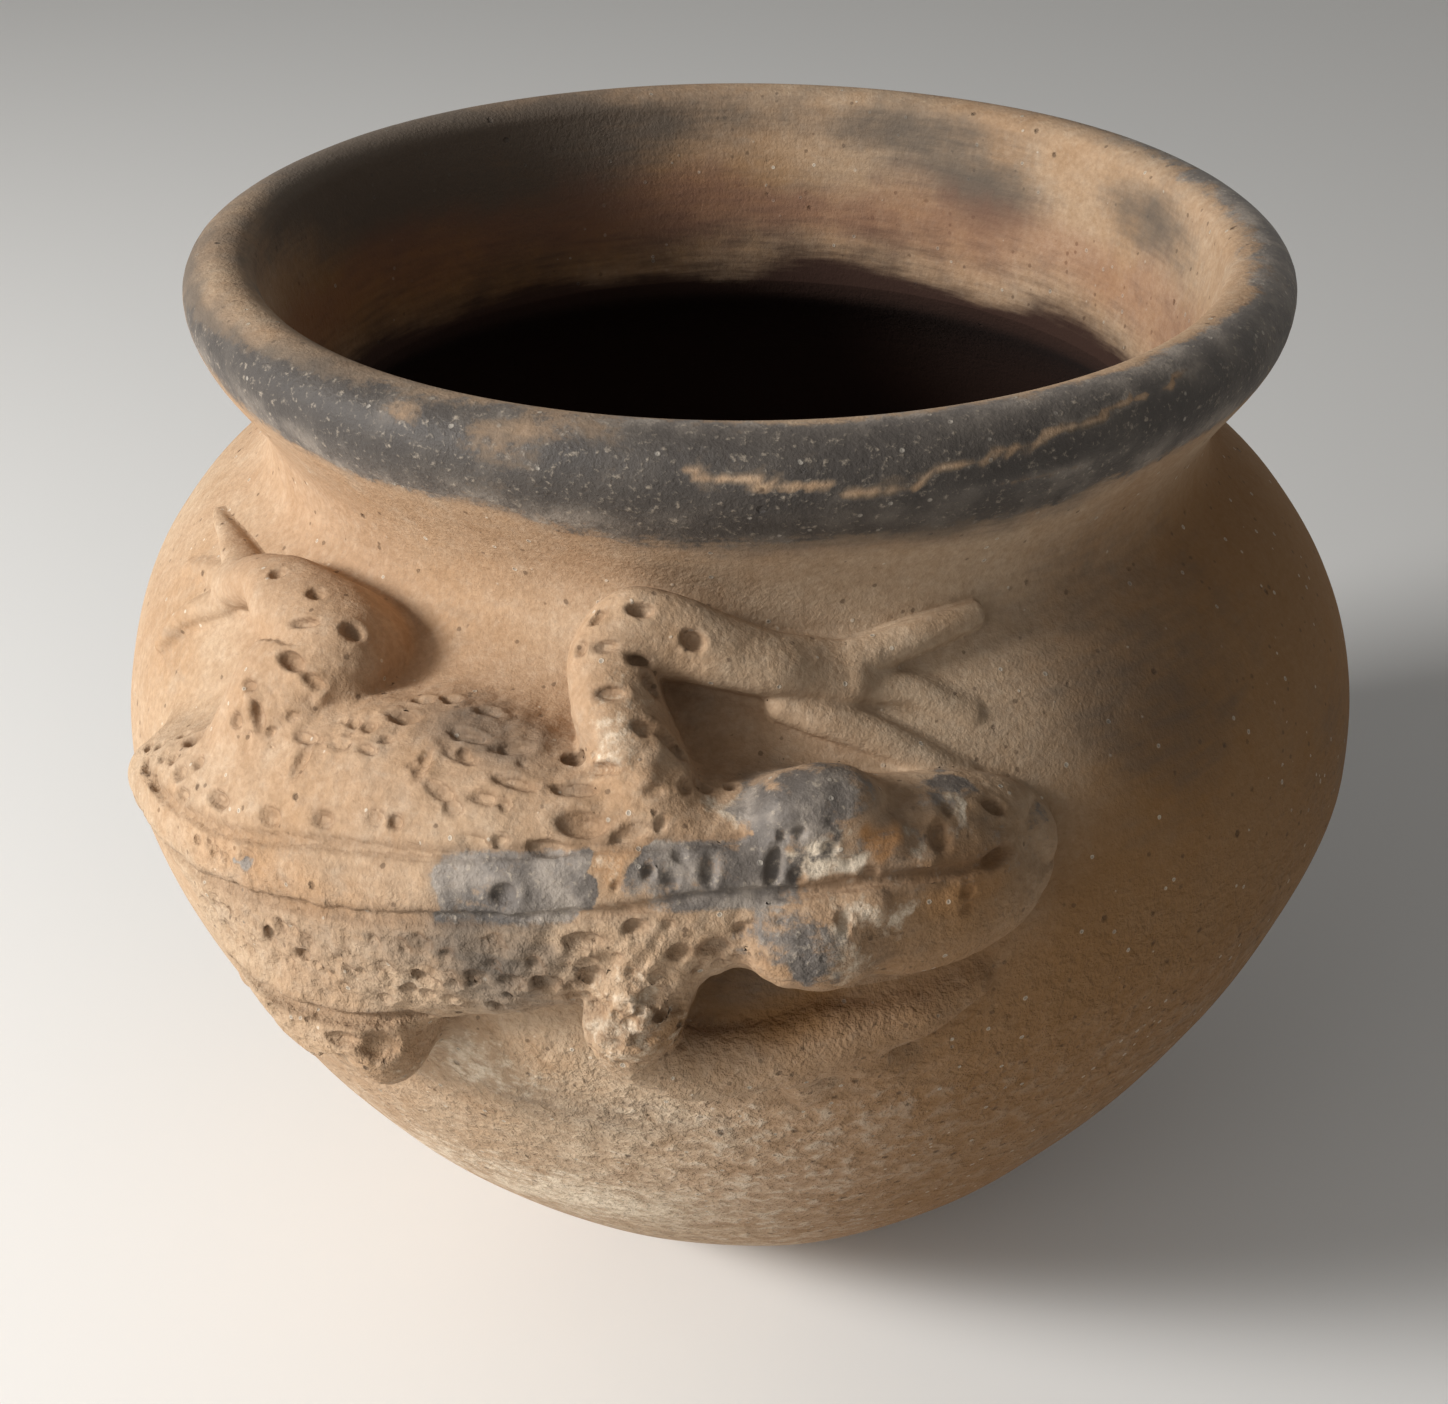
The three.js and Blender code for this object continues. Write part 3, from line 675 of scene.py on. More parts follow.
def tube(stations, undercut):
    """The distance field of a smooth tube through stations of (along, across, rise, half width, half
    depth), the slices of the grid that hold it, and how far each place lies to its up-wall side."""
    run = track(stations)
    reach = run[:, 3].max() + ROLL_REACH
    low, high = run.min(axis=0) - reach, run.max(axis=0) + reach
    spot = window(low[0], high[0], low[1], high[1])
    u, v = ALONG[spot], ACROSS[spot]
    off = np.full(u.shape, float(FAR_OFF))
    side, rise, wide, deep = (np.zeros(u.shape) for _ in range(4))
    for start, end in zip(run[:-1], run[1:]):
        du, dv = end[:2] - start[:2]
        share = np.clip(((u - start[0]) * du + (v - start[1]) * dv) / (du * du + dv * dv), 0, 1)
        here = start[:, None, None] + (end - start)[:, None, None] * share
        far = np.hypot(u - here[0], v - here[1]) / here[3]
        nearer = far < off
        off[nearer] = far[nearer]
        across_it = ((v - here[1]) * du - (u - here[0]) * dv) / (here[3] * math.hypot(du, dv))
        for field, value in ((side, across_it), (rise, here[2]), (wide, here[3]), (deep, here[4])):
            field[nearer] = value[nearer]
    lift = rise_steps - rise[..., None]
    lift = np.where(lift < 0, lift * undercut, lift)
    body = np.sqrt(off[..., None] ** 2 + (lift / deep[..., None]) ** 2) - 1
    return spot, (body * np.minimum(wide, deep)[..., None]).astype(np.float32), side


def roll(name, stations, above, below):
    """Lays a roll through the stations. above and below are the sizes of the fillets that smooth it into
    what is there, on its sides up and down the wall."""
    spot, body, side = tube(stations, UNDERCUT)
    fillet = below + (above - below) * np.clip(side / 2 + 0.5, 0, 1)
    distance[spot] = soft_min(distance[spot], body, fillet[..., None])
    if name not in rolls:
        rolls.append(name)
    wins = body < nearest[spot]
    maker[spot] = np.where(wins, rolls.index(name) + 1, maker[spot])
    nearest[spot] = np.minimum(body, nearest[spot])


def grid_place(along, across):
    """The grid's nearest slices to a place."""
    return int(round((along - ALONG_RANGE[0]) / VOXEL)), int(round((across - ACROSS_RANGE[0]) / VOXEL))


def surface_rise(along, across):
    """How far the clay stands off the wall at a place."""
    i, j = grid_place(along, across)
    inside = np.nonzero(distance[i, j] < 0)[0].max()
    near, far = distance[i, j, inside], distance[i, j, inside + 1]
    return float(rise_steps[inside] + VOXEL * near / (near - far))


def groove(line, width, depth):
    """Draws a stick along the clay, through places of (along, across)."""
    stations = [(*place, surface_rise(*place) + 0.1 * depth, width / 2, depth) for place in line]
    spot, body, _ = tube(stations, 1)
    distance[spot] = soft_max(distance[spot], -body, 0.3)
    # Painted shade darkens the groove.
    hollow[spot] = np.maximum(hollow[spot], np.clip(0.6 - body / width, 0, 1))


# A pit's rim stands this many times its half size from its middle.
RIM_PLACE, RIM_WIDTH = 1.4, 0.3
PIT_REACH = 2.5


def pit(along, across, length, width, depth, turn=0, rim=0.12):
    """Pushes an oval tool of these half sizes into the clay, square to its surface, which raises a rim.
    turn is in degrees from the toad's length."""
    reach = length + PIT_REACH
    spot = window(along - reach, along + reach, across - reach, across + reach)
    top = surface_rise(along, across)
    i, j = grid_place(along, across)
    k = int((top - RISE_RANGE[0]) / VOXEL)
    block = distance[i - 2 : i + 3, j - 2 : j + 3, k - 2 : k + 3]
    square = np.array([np.gradient(block, axis=axis).mean() for axis in range(3)])
    square /= np.linalg.norm(square)
    turn = math.radians(turn)
    long_way = np.array([math.cos(turn), math.sin(turn), 0])
    long_way -= square * (long_way @ square)
    long_way /= np.linalg.norm(long_way)
    short_way = np.cross(square, long_way)
    u, v = (ALONG[spot] - along)[..., None], (ACROSS[spot] - across)[..., None]
    w = rise_steps - top
    far = [
        (u * way[0] + v * way[1] + w * way[2]) / size
        for way, size in ((long_way, length), (short_way, width), (square, depth))
    ]
    out = np.sqrt(far[0] ** 2 + far[1] ** 2 + far[2] ** 2).astype(np.float32)
    raised = rim * np.exp(-(((out - RIM_PLACE) / RIM_WIDTH) ** 2))
    distance[spot] = soft_max(distance[spot] - raised, (1 - out) * min(length, width, depth), 0.2)
    # Painted shade darkens the pit.
    hollow[spot] = np.maximum(hollow[spot], np.clip(1.9 - 1.3 * out, 0, 1))


# The torso and the head are one fat roll, pinched in at the neck. Each station of a roll is (along,
# across, rise, half width, half depth).
TORSO = [
    (-82, -6.4, -1, 5.2, 7.2),
    (-76, -6, -0.5, 7.2, 8.8),
    (-68, -5, 0, 10, 10.3),
    (-58, -4.2, 0.5, 14.6, 11.5),
    (-45, -2.4, 1, 18.8, 12.5),
    (-33, 0.4, 1, 18.1, 12.8),
    (-20, 1.1, 1, 14.8, 12.5),
    (-9, 1.6, 1, 12, 11.5),
    (0, 2.2, 1, 10.3, 10.5),
]
HEAD = [
    (2, 2.3, 1, 10, 10.3),
    (10, 1.8, 1, 10.5, 10.3),
    (18, 0.6, 1, 11.2, 9.8),
    (25, 0.9, 0.6, 10.4, 9),
    (29.4, 1.6, 0, 8.6, 7.4),
    (33, 2, -0.6, 5.8, 5.2),
]
roll("toad_torso", TORSO, above=6, below=0.5)
roll("toad_head", HEAD, above=1, below=0.5)

# The limbs are rolls too, each bent once. The hind leg is folded, and its hollow is smoothed over.
roll(
    "toad_left_foreleg",
    [
        (-9, 6, 6, 6.4, 6),
        (-12, 13.5, 6.2, 5.6, 6),
        (-15.4, 20.5, 6.4, 5.5, 5.8),
        (-16.6, 26, 6.2, 5.9, 5.6),
        (-13.2, 28.6, 5.8, 5.7, 5.4),
        (-8, 28.3, 5.2, 5, 5),
        (-2, 27, 4.4, 4.4, 4.5),
        (4, 25.6, 3.4, 4.1, 3.8),
        (10, 25, 2.2, 3.9, 3),
        (15, 24.2, 1.2, 3.8, 2.4),
    ],
    above=1.5,
    below=1.5,
)
roll(
    "toad_right_foreleg",
    [
        (-9.6, -5, 5, 6, 6.2),
        (-10.6, -10.5, 5.2, 5.6, 6.2),
        (-11, -15, 4.6, 5, 5.8),
        (-9.4, -19, 2.8, 4.4, 4.4),
        (-4.4, -21.4, 1.5, 4.4, 3.7),
        (2, -20.8, 1.2, 4.4, 3.2),
        (9, -19.2, 1, 4.2, 2.9),
    ],
    above=1.6,
    below=0.8,
)
roll(
    "toad_left_hindleg",
    [
        (-62, 1, 3.6, 9, 6),
        (-59.5, 8.5, 5, 9.4, 6.6),
        (-58.3, 14, 5.4, 9, 6.8),
        (-56, 17.4, 5.4, 7.8, 6.6),
        (-61, 19.8, 5.2, 6.8, 6),
        (-68, 21.2, 5, 5.4, 5.4),
        (-75, 22, 4, 4.2, 4.6),
        (-82, 20, 2.8, 3.8, 3.8),
        (-88.5, 17.8, 1.4, 3.4, 2.8),
    ],
    above=1,
    below=1,
)
roll(
    "toad_right_hindleg",
    [
        (-60, -14.5, 3, 6, 5.6),
        (-49.5, -18.6, 5, 6.6, 6.2),
        (-43.6, -20.2, 5.4, 6.5, 6.2),
        (-40.6, -21.6, 5.2, 6.2, 6),
        (-43.5, -25, 3.4, 4.8, 4.6),
        (-50, -28.6, 1.6, 4.4, 3.6),
        (-58, -31, 0.4, 4, 2.6),
        (-65, -33, -0.4, 3.8, 2),
    ],
    above=2.5,
    below=2.5,
)

# The digits are thin rolls, pressed on until they are low ridges.
DIGITS = {
    "toad_left_finger_1": [
        (13, 25, 1.3, 2.6, 2.4), (26, 27.6, 0.9, 2.2, 2), (36.6, 29.2, 0.4, 1.7, 1.6),
    ],
    "toad_left_finger_2": [
        (14, 23.6, 0.5, 2.7, 2.1), (24, 21.4, -0.1, 2.3, 1.6), (31.6, 17.6, -0.6, 1.8, 1.2),
    ],
    "toad_left_finger_3": [
        (6, 21, 1.2, 2.6, 2.2), (18.5, 16, 0.2, 2.4, 1.7), (28, 10, -0.2, 2.1, 1.4),
    ],
    "toad_right_finger_1": [
        (9, -18.8, 0.9, 3.4, 2.7), (18.6, -17.6, 0.8, 2.8, 2.4), (27, -14.9, 0.1, 1.9, 1.7),
    ],
    "toad_right_finger_2": [
        (8, -20.6, 0.4, 2.8, 2.2), (13.4, -22.8, 0.2, 2.4, 1.9), (17.2, -25, -0.3, 1.8, 1.5),
    ],
    "toad_right_finger_3": [
        (5, -21.8, 0.3, 2.6, 2.2), (6.6, -25.8, 0, 2.1, 1.8), (7.2, -28.8, -0.5, 1.7, 1.4),
    ],
    "toad_left_toe_1": [
        (-87, 19.2, 1.4, 2.9, 2.6), (-99, 20.2, 0.6, 1.7, 1.8), (-112.6, 19.4, 0, 0.8, 0.9),
    ],
    "toad_left_toe_2": [
        (-90, 16.9, -0.2, 2.4, 1.8), (-100, 15.2, -0.8, 1.8, 1.5), (-107.6, 12, -0.9, 1.4, 1.3),
    ],
    "toad_left_toe_3": [
        (-88.4, 15.4, 0.4, 2.6, 2), (-95.4, 9.6, 0.3, 2, 1.8), (-99, 3.4, 0, 1.5, 1.5),
    ],
    "toad_right_toe_1": [
        (-67, -33.6, -0.8, 2.4, 1.7), (-75, -37, -0.9, 2, 1.5), (-80, -42, -0.9, 1.6, 1.3),
    ],
    "toad_right_toe_2": [
        (-66, -34.6, -0.8, 2.4, 1.7), (-72, -41.4, -0.9, 2, 1.5), (-75.4, -48, -0.9, 1.6, 1.3),
    ],
    "toad_right_toe_3": [
        (-64, -34.4, -0.8, 2.4, 1.7), (-67, -43, -0.9, 2, 1.5), (-69, -50, -0.9, 1.6, 1.3),
    ],
}
# The fingers of the right hand are smoothed into the wall above them.
for name, stations in DIGITS.items():
    roll(name, stations, above=2.4 if "right_finger" in name else 0.9, below=0.6)

# A slipped strip of clay lies along the spine, nearly flush with the back.
STRIP_LINE = [
    (-83, -7.4), (-73, -6.8), (-61, -5.8), (-50, -4.2), (-40, -2.9), (-29.5, -0.6), (-19.5, 0.9),
    (-9.5, 2.5), (3, 3),
]
STRIP_SUNK, STRIP_HALF_WIDTH, STRIP_HALF_DEPTH = 1.4, 3.1, 1.9
strip = [
    (*place, surface_rise(*place) - STRIP_SUNK, STRIP_HALF_WIDTH, STRIP_HALF_DEPTH) for place in STRIP_LINE
]
roll("toad_dorsal_strip", strip, above=0.8, below=0.8)

# The eyes are two ovals of clay, smoothed into the head.
EYES = {
    "toad_left_eye": [(6, 7.8, 7.8, 5, 5.7), (8.3, 8, 8, 5.2, 5.8), (10.6, 8, 7.8, 5, 5.7)],
    "toad_right_eye": [(5.6, -3.8, 7.6, 4.9, 5.4), (7.8, -4, 7.7, 5, 5.5), (9.8, -4, 7.6, 4.8, 5.3)],
}
for name, stations in EYES.items():
    roll(name, stations, above=2.5, below=2.5)

# Small lumps of clay on the head: one between the eyes and the nostrils, and a low brow. Each is (along,
# across, half width).
LUMPS = [(14.6, 4.6, 2.3), (19.5, 6.6, 1.8), (18.5, 1.6, 1.6), (12.4, -0.8, 1.8)]
LUMP_HALF_LENGTH, LUMP_SUNK, LUMP_HALF_DEPTH = 0.8, 0.9, 1.5
for lump_along, lump_across, wide in LUMPS:
    lump_rise = surface_rise(lump_along, lump_across) - LUMP_SUNK
    ends = (lump_along - LUMP_HALF_LENGTH, lump_along + LUMP_HALF_LENGTH)
    lump = [(end, lump_across, lump_rise, wide, LUMP_HALF_DEPTH) for end in ends]
    roll("toad_head", lump, above=0.7, below=0.7)

# A stick marks off the strip on both sides, and the lower line runs on to the snout.
UPPER_LINE = [
    (-79, -4.4), (-73, -4.2), (-66, -3.7), (-56, -2.6), (-42.5, 0.2), (-30, 1.9), (-20, 3.6), (-10, 5),
    (0, 5.6),
]
LOWER_LINE = [
    (-78, -9.6), (-70, -9.4), (-58.5, -8.6), (-46, -6.5), (-36.5, -4.9), (-29, -3.5), (-23, -2.5),
    (-17, -1.6), (-12.5, -0.9), (-8.5, -0.2), (-4, 0.7), (3, 0.9), (8.5, 1.1), (14, 1.4), (22, 1.2),
    (26, 1.4),
]
groove(UPPER_LINE, width=1.2, depth=0.6)
groove(LOWER_LINE, width=1.3, depth=0.9)

# The folded right hind leg is tucked against the belly.
BELLY_CREASE = [(-58, -18.3), (-52, -18.3), (-46, -17.9), (-40, -17.4), (-33, -16.5)]
groove(BELLY_CREASE, width=1.5, depth=1.7)

# The skin is pitted with the end of a stick or a reed. Each pit is (along, across, half length, half
# width, depth, turn).
PITS = [
    # back, above the strip
    (-31, 13.5, 2.7, 0.8, 0.83, -6), (-30.5, 11, 2, 0.7, 0.75, -6), (-24, 9.2, 2.6, 0.8, 0.83, -4),
    (-31.5, 7, 2, 0.7, 0.6, -18), (-26.5, 7.2, 1.6, 0.7, 0.6, 0), (-17.5, 9.4, 2.5, 0.8, 0.83, 8),
    (-16, 6.2, 2.7, 1.2, 1.27, 0), (-19, 3.9, 2.2, 0.7, 0.75, 0), (-26.5, 3.4, 1.8, 0.7, 0.45, -10),
    (-14.5, 12, 2.7, 0.8, 0.9, 10), (-18.5, 13, 2.1, 0.9, 0.83, 20), (-26, 13, 2.4, 0.9, 0.83, 24),
    (-31, 16.8, 1.8, 0.8, 0.75, 0),
    (-40.5, 13.8, 2.4, 0.9, 1.12, 0), (-40, 16.2, 1.6, 0.8, 0.75, 10), (-37, 17, 1.5, 0.8, 0.68, 0),
    (-34.5, 9.2, 0.9, 1.9, 0.68, 0), (-51, 0.4, 1.5, 0.8, 0.75, 0), (-44, 1.9, 1.4, 0.8, 0.75, 0),
    (-35.5, 3.6, 0.9, 0.7, 0.83, 0), (-37.8, 3.4, 1.1, 0.7, 0.45, 0), (-24, 4, 0.9, 0.6, 0.52, 0),
    (-29.5, 5.8, 1.1, 0.7, 0.45, 0), (-50.5, 8, 2.3, 0.7, 0.6, 0), (-49.5, 5.8, 0.9, 1.7, 0.6, 0),
    (-45.5, 8.6, 1.3, 0.7, 0.45, 10), (-43.5, 11.5, 1.1, 0.8, 0.6, 0), (-42, 9, 1.4, 0.7, 0.52, 0),
    (-11, 5.8, 2.1, 0.8, 0.68, 20), (-9, 10, 1.4, 0.8, 0.45, 0), (-6, 10.6, 0.8, 0.9, 0.52, 0),
    (-8, 6.8, 0.7, 0.8, 0.68, 0), (-4.3, 11, 1.3, 0.8, 0.75, -20), (-1, 10.8, 0.8, 0.7, 0.68, 0),
    # left foreleg
    (-13, 30.6, 1.8, 0.9, 1.3, 0), (-18.5, 29.3, 1.4, 0.7, 0.9, 30), (-20, 25.5, 1, 0.9, 0.8, 0),
    (-16.5, 26, 1.7, 0.7, 0.7, 10), (-12.8, 24.8, 1.7, 0.9, 1.3, 0), (-15, 20.5, 2, 0.9, 1, 5),
    (-11, 22, 1.8, 1, 1.2, -10), (-6, 27.6, 1.7, 1.1, 1.3, -20), (-10.6, 17, 1.7, 0.9, 1.1, 0),
    (-7.6, 15.4, 2.7, 0.8, 1.2, -12),
    # left hind leg
    (-70, 24, 1.4, 0.9, 1.1, 0), (-60.5, 23.8, 1.5, 0.9, 1.2, 0), (-58, 20.2, 2.3, 0.7, 1.1, 20),
    (-51.8, 21.4, 1.7, 1.1, 1.6, 0), (-56, 15.5, 2.3, 1, 1.5, -8), (-52.5, 14.3, 1.6, 0.8, 0.9, -20),
    (-60.5, 10.8, 1.3, 0.9, 1, 0), (-58, 8.2, 2.1, 0.8, 1.1, -50), (-61, 6.8, 1.1, 0.8, 0.8, 0),
    # rump
    (-71, 1.8, 2.2, 1.2, 1.4, 0), (-75, -1.6, 1.2, 0.8, 0.8, 0), (-78.5, -4.4, 1.2, 0.8, 0.8, 0),
    (-68.5, -0.9, 1.5, 0.9, 1, 0), (-66, 1, 1, 0.7, 0.8, 0), (-73.5, -4.2, 1.4, 0.9, 0.9, 0),
    (-66, -2.5, 1.3, 0.8, 0.8, 0), (-59.5, -0.6, 1.8, 0.8, 1, 0), (-79, -2, 1.1, 0.7, 0.8, 0),
    (-82, -3.6, 1.1, 0.7, 0.8, 0), (-72, -0.8, 1.1, 0.7, 0.8, 0), (-76, 0.6, 1.1, 0.7, 0.7, 0),
    # strip and head
    (-22.6, -0.3, 1.4, 1.1, 1.1, 0), (-52.5, -4, 1.2, 0.9, 0.5, 0), (3.4, 3.3, 0.9, 1.8, 1.2, -14),
    (-3, 3, 0.9, 1.4, 0.7, 0), (-9, 2.6, 0.7, 0.8, 0.5, 0), (28.5, 6.4, 1.6, 0.8, 1.5, -15),
    (27.8, 1.6, 2.5, 0.9, 1.9, 12), (21, 4.4, 1.2, 1.4, 0.8, 0), (13, 2, 1, 0.7, 0.5, 0),
    (9, 4.6, 0.8, 0.6, 0.5, 0), (5.6, 2.4, 0.9, 0.7, 0.5, 0), (10, -1.6, 0.8, 0.7, 0.6, 0),
    # belly side
    (-15, -3.8, 2, 0.9, 1, 0), (-10, -2.2, 1.3, 0.8, 0.9, 0), (-2.8, -4.1, 1.7, 0.9, 1.1, 0),
    (-6, -4.4, 1.2, 0.8, 0.9, 0), (-8.2, -8.8, 1.8, 0.9, 1, 0), (-9.2, -13, 1.4, 0.9, 0.9, 0),
    (-19, -8.4, 1.5, 0.9, 0.9, 0), (-22.2, -8.6, 1.3, 0.8, 0.9, 0), (-14.5, -7.2, 1.3, 0.8, 0.9, 0),
    # right hind leg
    (-40.6, -19.6, 2.3, 0.9, 1.3, 8), (-37, -20, 2.3, 1.9, 1.5, 0), (-50, -20, 1.2, 0.8, 0.8, 0),
]
for place in PITS:
    pit(*place)

# The belly side is pricked all over with a finer point, and the back and the head here and there: (how
# many, from and to along, middle across, spread). No prick lies on the lower line or near the wall.
prick_draw = np.random.default_rng(5)
PRICKED = [
    (170, (-62, 2), -9.5, 5), (14, (-60, -20), 10.5, 5), (26, (-16, -3), -13, 4), (26, (-14, 24), 2.5, 5),
]
PRICKED_RISE = 3
OFF_LINE = 1.8
PRICK_SIZES = (0.36, 0.72)
for count, along_range, middle, spread in PRICKED:
    for _ in range(count):
        along = prick_draw.uniform(*along_range)
        across = middle + prick_draw.uniform(-spread, spread)
        size = prick_draw.uniform(*PRICK_SIZES)
        off_line = abs(across - np.interp(along, *np.transpose(LOWER_LINE)))
        if surface_rise(along, across) > PRICKED_RISE and off_line > OFF_LINE:
            pit(along, across, size * 1.3, size, size * 0.9, prick_draw.uniform(-30, 30), 0.05)


def on_wall(places):
    """Points from places of (along, across, rise). The clay rises square to the wall, except in the turn
    of the neck, where it leans as it does at LEAN_HEIGHT."""
    along, across, rise = places.T
    height = np.interp(spine_length + across, chart_lengths, chart_heights)
    radius = np.interp(height, chart_heights, chart_radii)
    slope = np.interp(np.minimum(height, LEAN_HEIGHT), chart_heights, chart_slopes)
    level = 1 / np.hypot(1, slope)
    turn = along / SPINE_RADIUS
    foot = np.stack([radius * np.sin(turn), -radius * np.cos(turn), height], axis=1)
    reach = radius - wall_dip(foot) + rise * level
    height = height - rise * slope * level
    return np.stack([reach * np.sin(turn), -reach * np.cos(turn), height], axis=1)


# What shows is clay that rises off the wall. Each grid cell that the surface, or the joint between two
# rolls, passes through gets a corner of the mesh, and each grid edge that crosses it a face.
CUBE = [(i, j, k) for i in (0, 1) for j in (0, 1) for k in (0, 1)]
CUBE_EDGES = [(a, b) for a in CUBE for b in CUBE if a < b and sum(abs(p - q) for p, q in zip(a, b)) == 1]
clay_there = (distance < 0) & (rise_steps > UNDERSIDE)
level_index = np.searchsorted(rise_steps, WALL_LEVEL) - 1
raised = distance[..., level_index] < rise_steps[level_index] - WALL_LEVEL - LEAST_RISE
label = np.where(clay_there & raised[..., None], maker, 0).astype(np.int8)


def corner(array, step, cells):
    return array[tuple(cells[axis] + step[axis] for axis in range(3))]


cell_shape = tuple(n - 1 for n in label.shape)
lowest = np.full(cell_shape, 127, np.int8)
highest = np.zeros(cell_shape, np.int8)
for i, j, k in CUBE:
    view = label[i : i + cell_shape[0], j : j + cell_shape[1], k : k + cell_shape[2]]
    np.minimum(lowest, view, out=lowest)
    np.maximum(highest, view, out=highest)
cells = np.nonzero(lowest != highest)
number = np.full(cell_shape, -1, np.int32)
number[cells] = np.arange(len(cells[0]))
skin_sum, joint_sum = (np.zeros((len(cells[0]), 3)) for _ in range(2))
skin_count, joint_count = (np.zeros(len(cells[0])) for _ in range(2))
for a, b in CUBE_EDGES:
    near, far = corner(distance, a, cells), corner(distance, b, cells)
    crosses = (near < 0) != (far < 0)
    share = np.where(crosses, near / np.where(crosses, near - far, 1), 0)
    spot = np.array(a) + share[:, None] * (np.array(b) - np.array(a))
    skin_sum += spot * crosses[:, None]
    skin_count += crosses
    parts = corner(label, a, cells) != corner(label, b, cells)
    joint_sum += (np.array(a) + np.array(b)) / 2 * parts[:, None]
    joint_count += parts
middle = np.where(
    skin_count[:, None] > 0,
    skin_sum / np.maximum(skin_count, 1)[:, None],
    joint_sum / np.maximum(joint_count, 1)[:, None],
)
origin = np.array([ALONG_RANGE[0], ACROSS_RANGE[0], RISE_RANGE[0]])
mesh_places = origin + (np.stack(cells, axis=1) + middle) * VOXEL
mesh_points = on_wall(mesh_places)
mesh_recess_shade = hollow[cells]

faces, face_makers, face_on_skin = [], [], []
for axis in range(3):
    first, second = (axis + 1) % 3, (axis + 2) % 3
    here = [slice(1, n - 1) for n in label.shape]
    here[axis] = slice(0, label.shape[axis] - 1)
    there = list(here)
    there[axis] = slice(1, label.shape[axis])
    low, high = label[tuple(here)], label[tuple(there)]
    edge = np.stack(np.nonzero(low != high))
    low, high = low[tuple(edge)], high[tuple(edge)]
    on_skin = (distance[tuple(here)][tuple(edge)] < 0) != (distance[tuple(there)][tuple(edge)] < 0)
    edge[first] += 1
    edge[second] += 1
    around = []
    for back, down in ((1, 1), (0, 1), (0, 0), (1, 0)):
        cell = edge.copy()
        cell[first] -= back
        cell[second] -= down
        around.append(number[tuple(cell)])
    quad = np.stack(around, axis=1)
    for side, order in ((low, quad), (high, quad[:, ::-1])):
        faces.append(order[side > 0])
        face_makers.append(side[side > 0])
        face_on_skin.append(on_skin[side > 0])
faces, face_makers, face_on_skin = (np.concatenate(part) for part in (faces, face_makers, face_on_skin))


def skin_normals():
    """The outward direction at each corner of the mesh, over all the pieces that meet there."""
    skin = faces[face_on_skin]
    corners = mesh_points[skin]
    square = np.cross(corners[:, 2] - corners[:, 0], corners[:, 3] - corners[:, 1])
    total = np.zeros(mesh_points.shape)
    for index in range(4):
        for axis in range(3):
            total[:, axis] += np.bincount(skin[:, index], square[:, axis], len(mesh_points))
    return total / np.maximum(np.linalg.norm(total, axis=1, keepdims=True), 1e-9)


# The clay keeps the lumps and folds that the fingers left, most of all on the flanks, the neck and the
# right elbow: (along, across, half length, half width, strength).
along, across, rise = mesh_places.T
LUMPY = [
    (-50, 9, 16, 7, 0.7), (-28, 14, 18, 7, 0.6), (-5, 11, 7, 7, 0.8), (-42, -11, 26, 8, 1),
    (-12, -6, 14, 7, 1), (-9, -13, 9, 8, 0.6),
]
lumpy = blots(along, across, LUMPY)
FOLD_WIDTH = 4.6
FOLD_LENGTH = 2.2 * FOLD_WIDTH
fold_points = np.stack([along / FOLD_WIDTH, across / FOLD_LENGTH, rise / FOLD_LENGTH], axis=1)
swell = lumpy * (0.14 * waves(mesh_points, 3.6, 42) + 0.13 * waves(fold_points, 1, 41))
swell += 0.1 * waves(mesh_points, 8, 43) + (0.02 + 0.05 * lumpy) * waves(mesh_points, 1.7, 44)
swell *= np.clip((rise - 0.4) / 2, 0, 1)
mesh_points += skin_normals() * swell[:, None]
mesh_normals = skin_normals()

# The slip is left on the strip, the eyes and a spot by the nostrils. The marks on the toad are (along,
# across, half length, half width, strength).
STRIP_SLIP_PLACES = [-31, -29.5, -14.8, -14, -10.6, -9.8, 4, 6]
STRIP_SLIP_SHARES = [0.05, 0.6, 0.6, 0.05, 0.05, 0.56, 0.62, 0.3]
TOAD_SLIP = [
    (7.5, 9, 7.5, 5, 0.66), (0.5, 8.6, 3, 1.8, 0.35), (24, 9.4, 3.4, 2, 0.7), (5, -2.6, 7, 4, 0.52),
    (6.5, -6.4, 3, 1.8, 0.4), (-52.8, -4.4, 1.6, 0.9, 0.7), (20, 7, 3, 2, 0.28), (3.4, 3.3, 1.6, 2.6, 0.7),
]
# Pale patches on the toad: clay rubbed bare, and painted light on its lit head, elbows and flanks.
TOAD_RUBBED_AND_LIT = [
    (8, 3.6, 4.6, 2, 0.75), (-0.5, 8.4, 4, 2.6, 0.5), (18.6, 4, 1.8, 3, 0.4), (24, 5, 2, 2.6, 0.4),
    (22.6, 7.4, 3.4, 1.4, 0.35), (13, -1.6, 6, 2.6, 0.5), (9.8, -6, 4, 2, 0.45), (-12.2, 2.4, 2, 2.6, 0.45),
    (-10.5, -12, 6, 8, 0.46), (-14, 17, 5, 9, 0.42), (-46, 4, 22, 8, 0.2), (-34, -12, 12, 3, 0.25),
    (-27, 16, 8, 2, 0.3),
]
TOAD_OCHRE = [(14.6, 4.5, 2.6, 2, 1), (24, 0.5, 6, 4, 0.35), (-56, -5, 24, 3, 0.3), (-12.2, 2.4, 2, 2.6, 0.5)]
# Painted shade on the toad, warm brown: under the right eye, at the end of the head and by the right elbow.
TOAD_PAINTED_SHADE = [(14, -6, 14, 8, 0.4), (24, 3, 8, 8, 0.5), (-12, -14, 8, 6, 0.2)]
